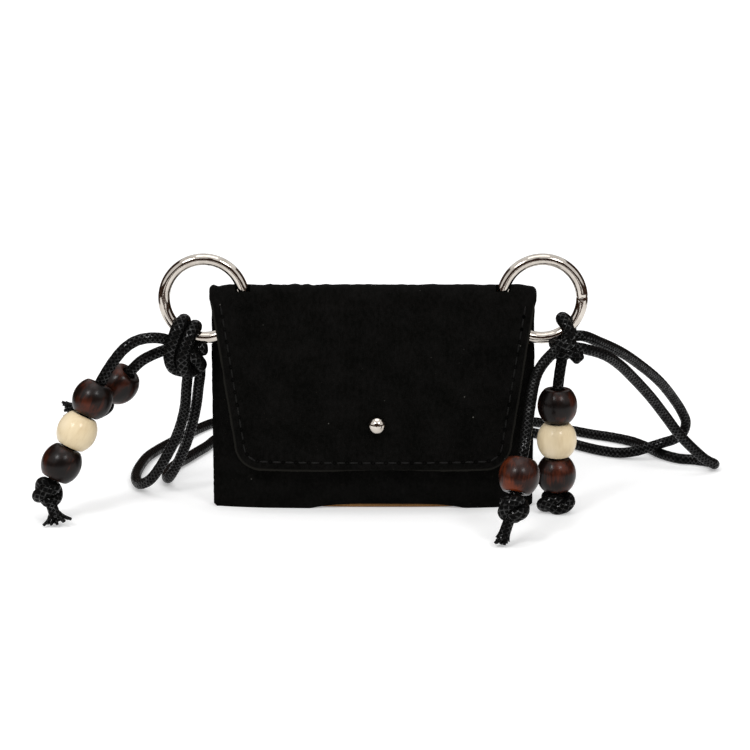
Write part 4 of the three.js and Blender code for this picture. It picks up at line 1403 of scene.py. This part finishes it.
fold_arc = math.pi * fold_radius
flap_length = fold_height - flap_bottom
flap_heights = np.linspace(flap_bottom, fold_height, 200)
flap_area = sum(2 * flap_half_width(z) for z in flap_heights) / len(flap_heights) * flap_length
lining_over_fold = 0.0065 + fold_arc * 0.77
pouch_width * (fold_height + fold_arc) + flap_area
2 * lining_half * lining_over_fold + flap_area * 0.97

# %% [markdown]
# The set is a pale floor under soft light from all round. The floor and the background look white to
# the camera and in the nickel, without lighting the pouch more than a plain level. The floor glows
# only half as much near the pouch, so that its soft shadow shows.

# %% Build the set
floor_half = 6.0
light_level = 0.62
deselect_all()
bpy.ops.mesh.primitive_plane_add(size=2 * floor_half)
floor = bpy.context.object
floor.name = "studio_floor"
paper = Finish("floor_paper", Roughness=0.9, Specular_IOR_Level=0.1)
paper.set(Base_Color=grey(0.84), Emission_Strength=1.0)
by_camera = paper.node("ShaderNodeLightPath", {}, {}, "Is Camera Ray")
mirrored = by_camera.neighbour("Is Glossy Ray")
through = by_camera.neighbour("Is Transmission Ray")
floor_place = {0: paper.object_place()}
from_middle = paper.node("ShaderNodeVectorMath", {"operation": "LENGTH"}, floor_place, "Value")
near_glow, far_glow, far_reach = 0.30, 0.62, 0.9
glow_range = {"From Max": far_reach, "To Min": near_glow, "To Max": far_glow, "Value": from_middle}
glow = paper.node("ShaderNodeMapRange", {"interpolation_type": "SMOOTHSTEP"}, glow_range, "Result")
paper.set(Emission_Color=by_camera.largest(mirrored).largest(through) * glow)
floor.data.materials.append(paper.material)
world = bpy.data.worlds.new("studio_world")
bpy.context.scene.world = world
world.use_nodes = True
sky = world.node_tree
light_path = sky.nodes.new("ShaderNodeLightPath")
strength = sky.nodes.new("ShaderNodeMapRange")
strength.inputs["To Min"].default_value = light_level
strength.inputs["To Max"].default_value = 1.0
white_rays = light_path.outputs["Is Camera Ray"]
for ray in ("Is Glossy Ray", "Is Transmission Ray"):
    either = sky.nodes.new("ShaderNodeMath")
    either.operation = "MAXIMUM"
    sky.links.new(white_rays, either.inputs[0])
    sky.links.new(light_path.outputs[ray], either.inputs[1])
    white_rays = either.outputs[0]
sky.links.new(white_rays, strength.inputs["Value"])
backdrop = sky.nodes["Background"]
backdrop.inputs["Color"].default_value = grey(1.0)
sky.links.new(strength.outputs["Result"], backdrop.inputs["Strength"])
bpy.context.scene.view_settings.view_transform = "Standard"
print("floor", 2 * floor_half, "m wide")

# %% [markdown]
# One lamp hangs above the pouch and one stands on each side of the camera. Polished metal shows what
# stands round it, so dark cards are put where only reflections see them. They give the ball and the
# rings their dark shapes, as the things in a real studio do.

# %% Hang the lamps and the cards
def soft_lamp(name, place, size, watts):
    data = bpy.data.lights.new(name, "AREA")
    data.size = size
    data.energy = watts
    lamp = bpy.data.objects.new(name, data)
    bpy.context.scene.collection.objects.link(lamp)
    lamp.location = place
    lamp.rotation_euler = (Vector((0, 0, 0.04)) - Vector(place)).to_track_quat("-Z", "Y").to_euler()


def dark_card(name, place, size, turn, lies=False):
    deselect_all()
    bpy.ops.mesh.primitive_plane_add(size=1, location=place)
    card = bpy.context.object
    card.name = name
    card.scale = (*size, 1)
    card.rotation_euler = (0 if lies else math.pi / 2, 0, math.radians(turn))
    card.visible_camera = False
    card.visible_diffuse = False
    card.visible_shadow = False
    card.data.materials.append(umber_cloth.material)


umber_cloth = Finish("umber_card_cloth", Roughness=0.9)
umber_cloth.set(Base_Color=tone(58, 36, 22))
soft_lamp("overhead_lamp", (0.0, -0.1, 1.2), 0.7, 2.6)
soft_lamp("left_lamp", (-0.5, -0.75, 0.85), 0.26, 4.2)
soft_lamp("right_lamp", (0.45, -0.8, 0.8), 0.26, 3.0)
dark_card("front_card", (0.0, -0.62, 0.11), (1.3, 0.22), 0)
dark_card("left_card", (-0.27, 0.22, 0.16), (0.5, 0.32), 90)
dark_card("right_card", (0.27, 0.22, 0.16), (0.5, 0.32), 90)
dark_card("back_card", (0.0, 0.22, 0.075), (1.1, 0.15), 0)
dark_card("camera_card", (0.01, -0.70, 0.40), (0.09, 0.56), 0)
dark_card("middle_card", (0.02, -0.61, 0.22), (0.78, 0.44), 0)
dark_card("low_left_card", (-0.42, -0.22, 0.06), (0.6, 0.12), -62)
dark_card("low_right_card", (0.42, -0.22, 0.06), (0.6, 0.12), 62)
dark_card("floor_card", (0.0, -0.33, 0.001), (0.9, 0.18), 0, lies=True)
print("lamps 3, cards 9")
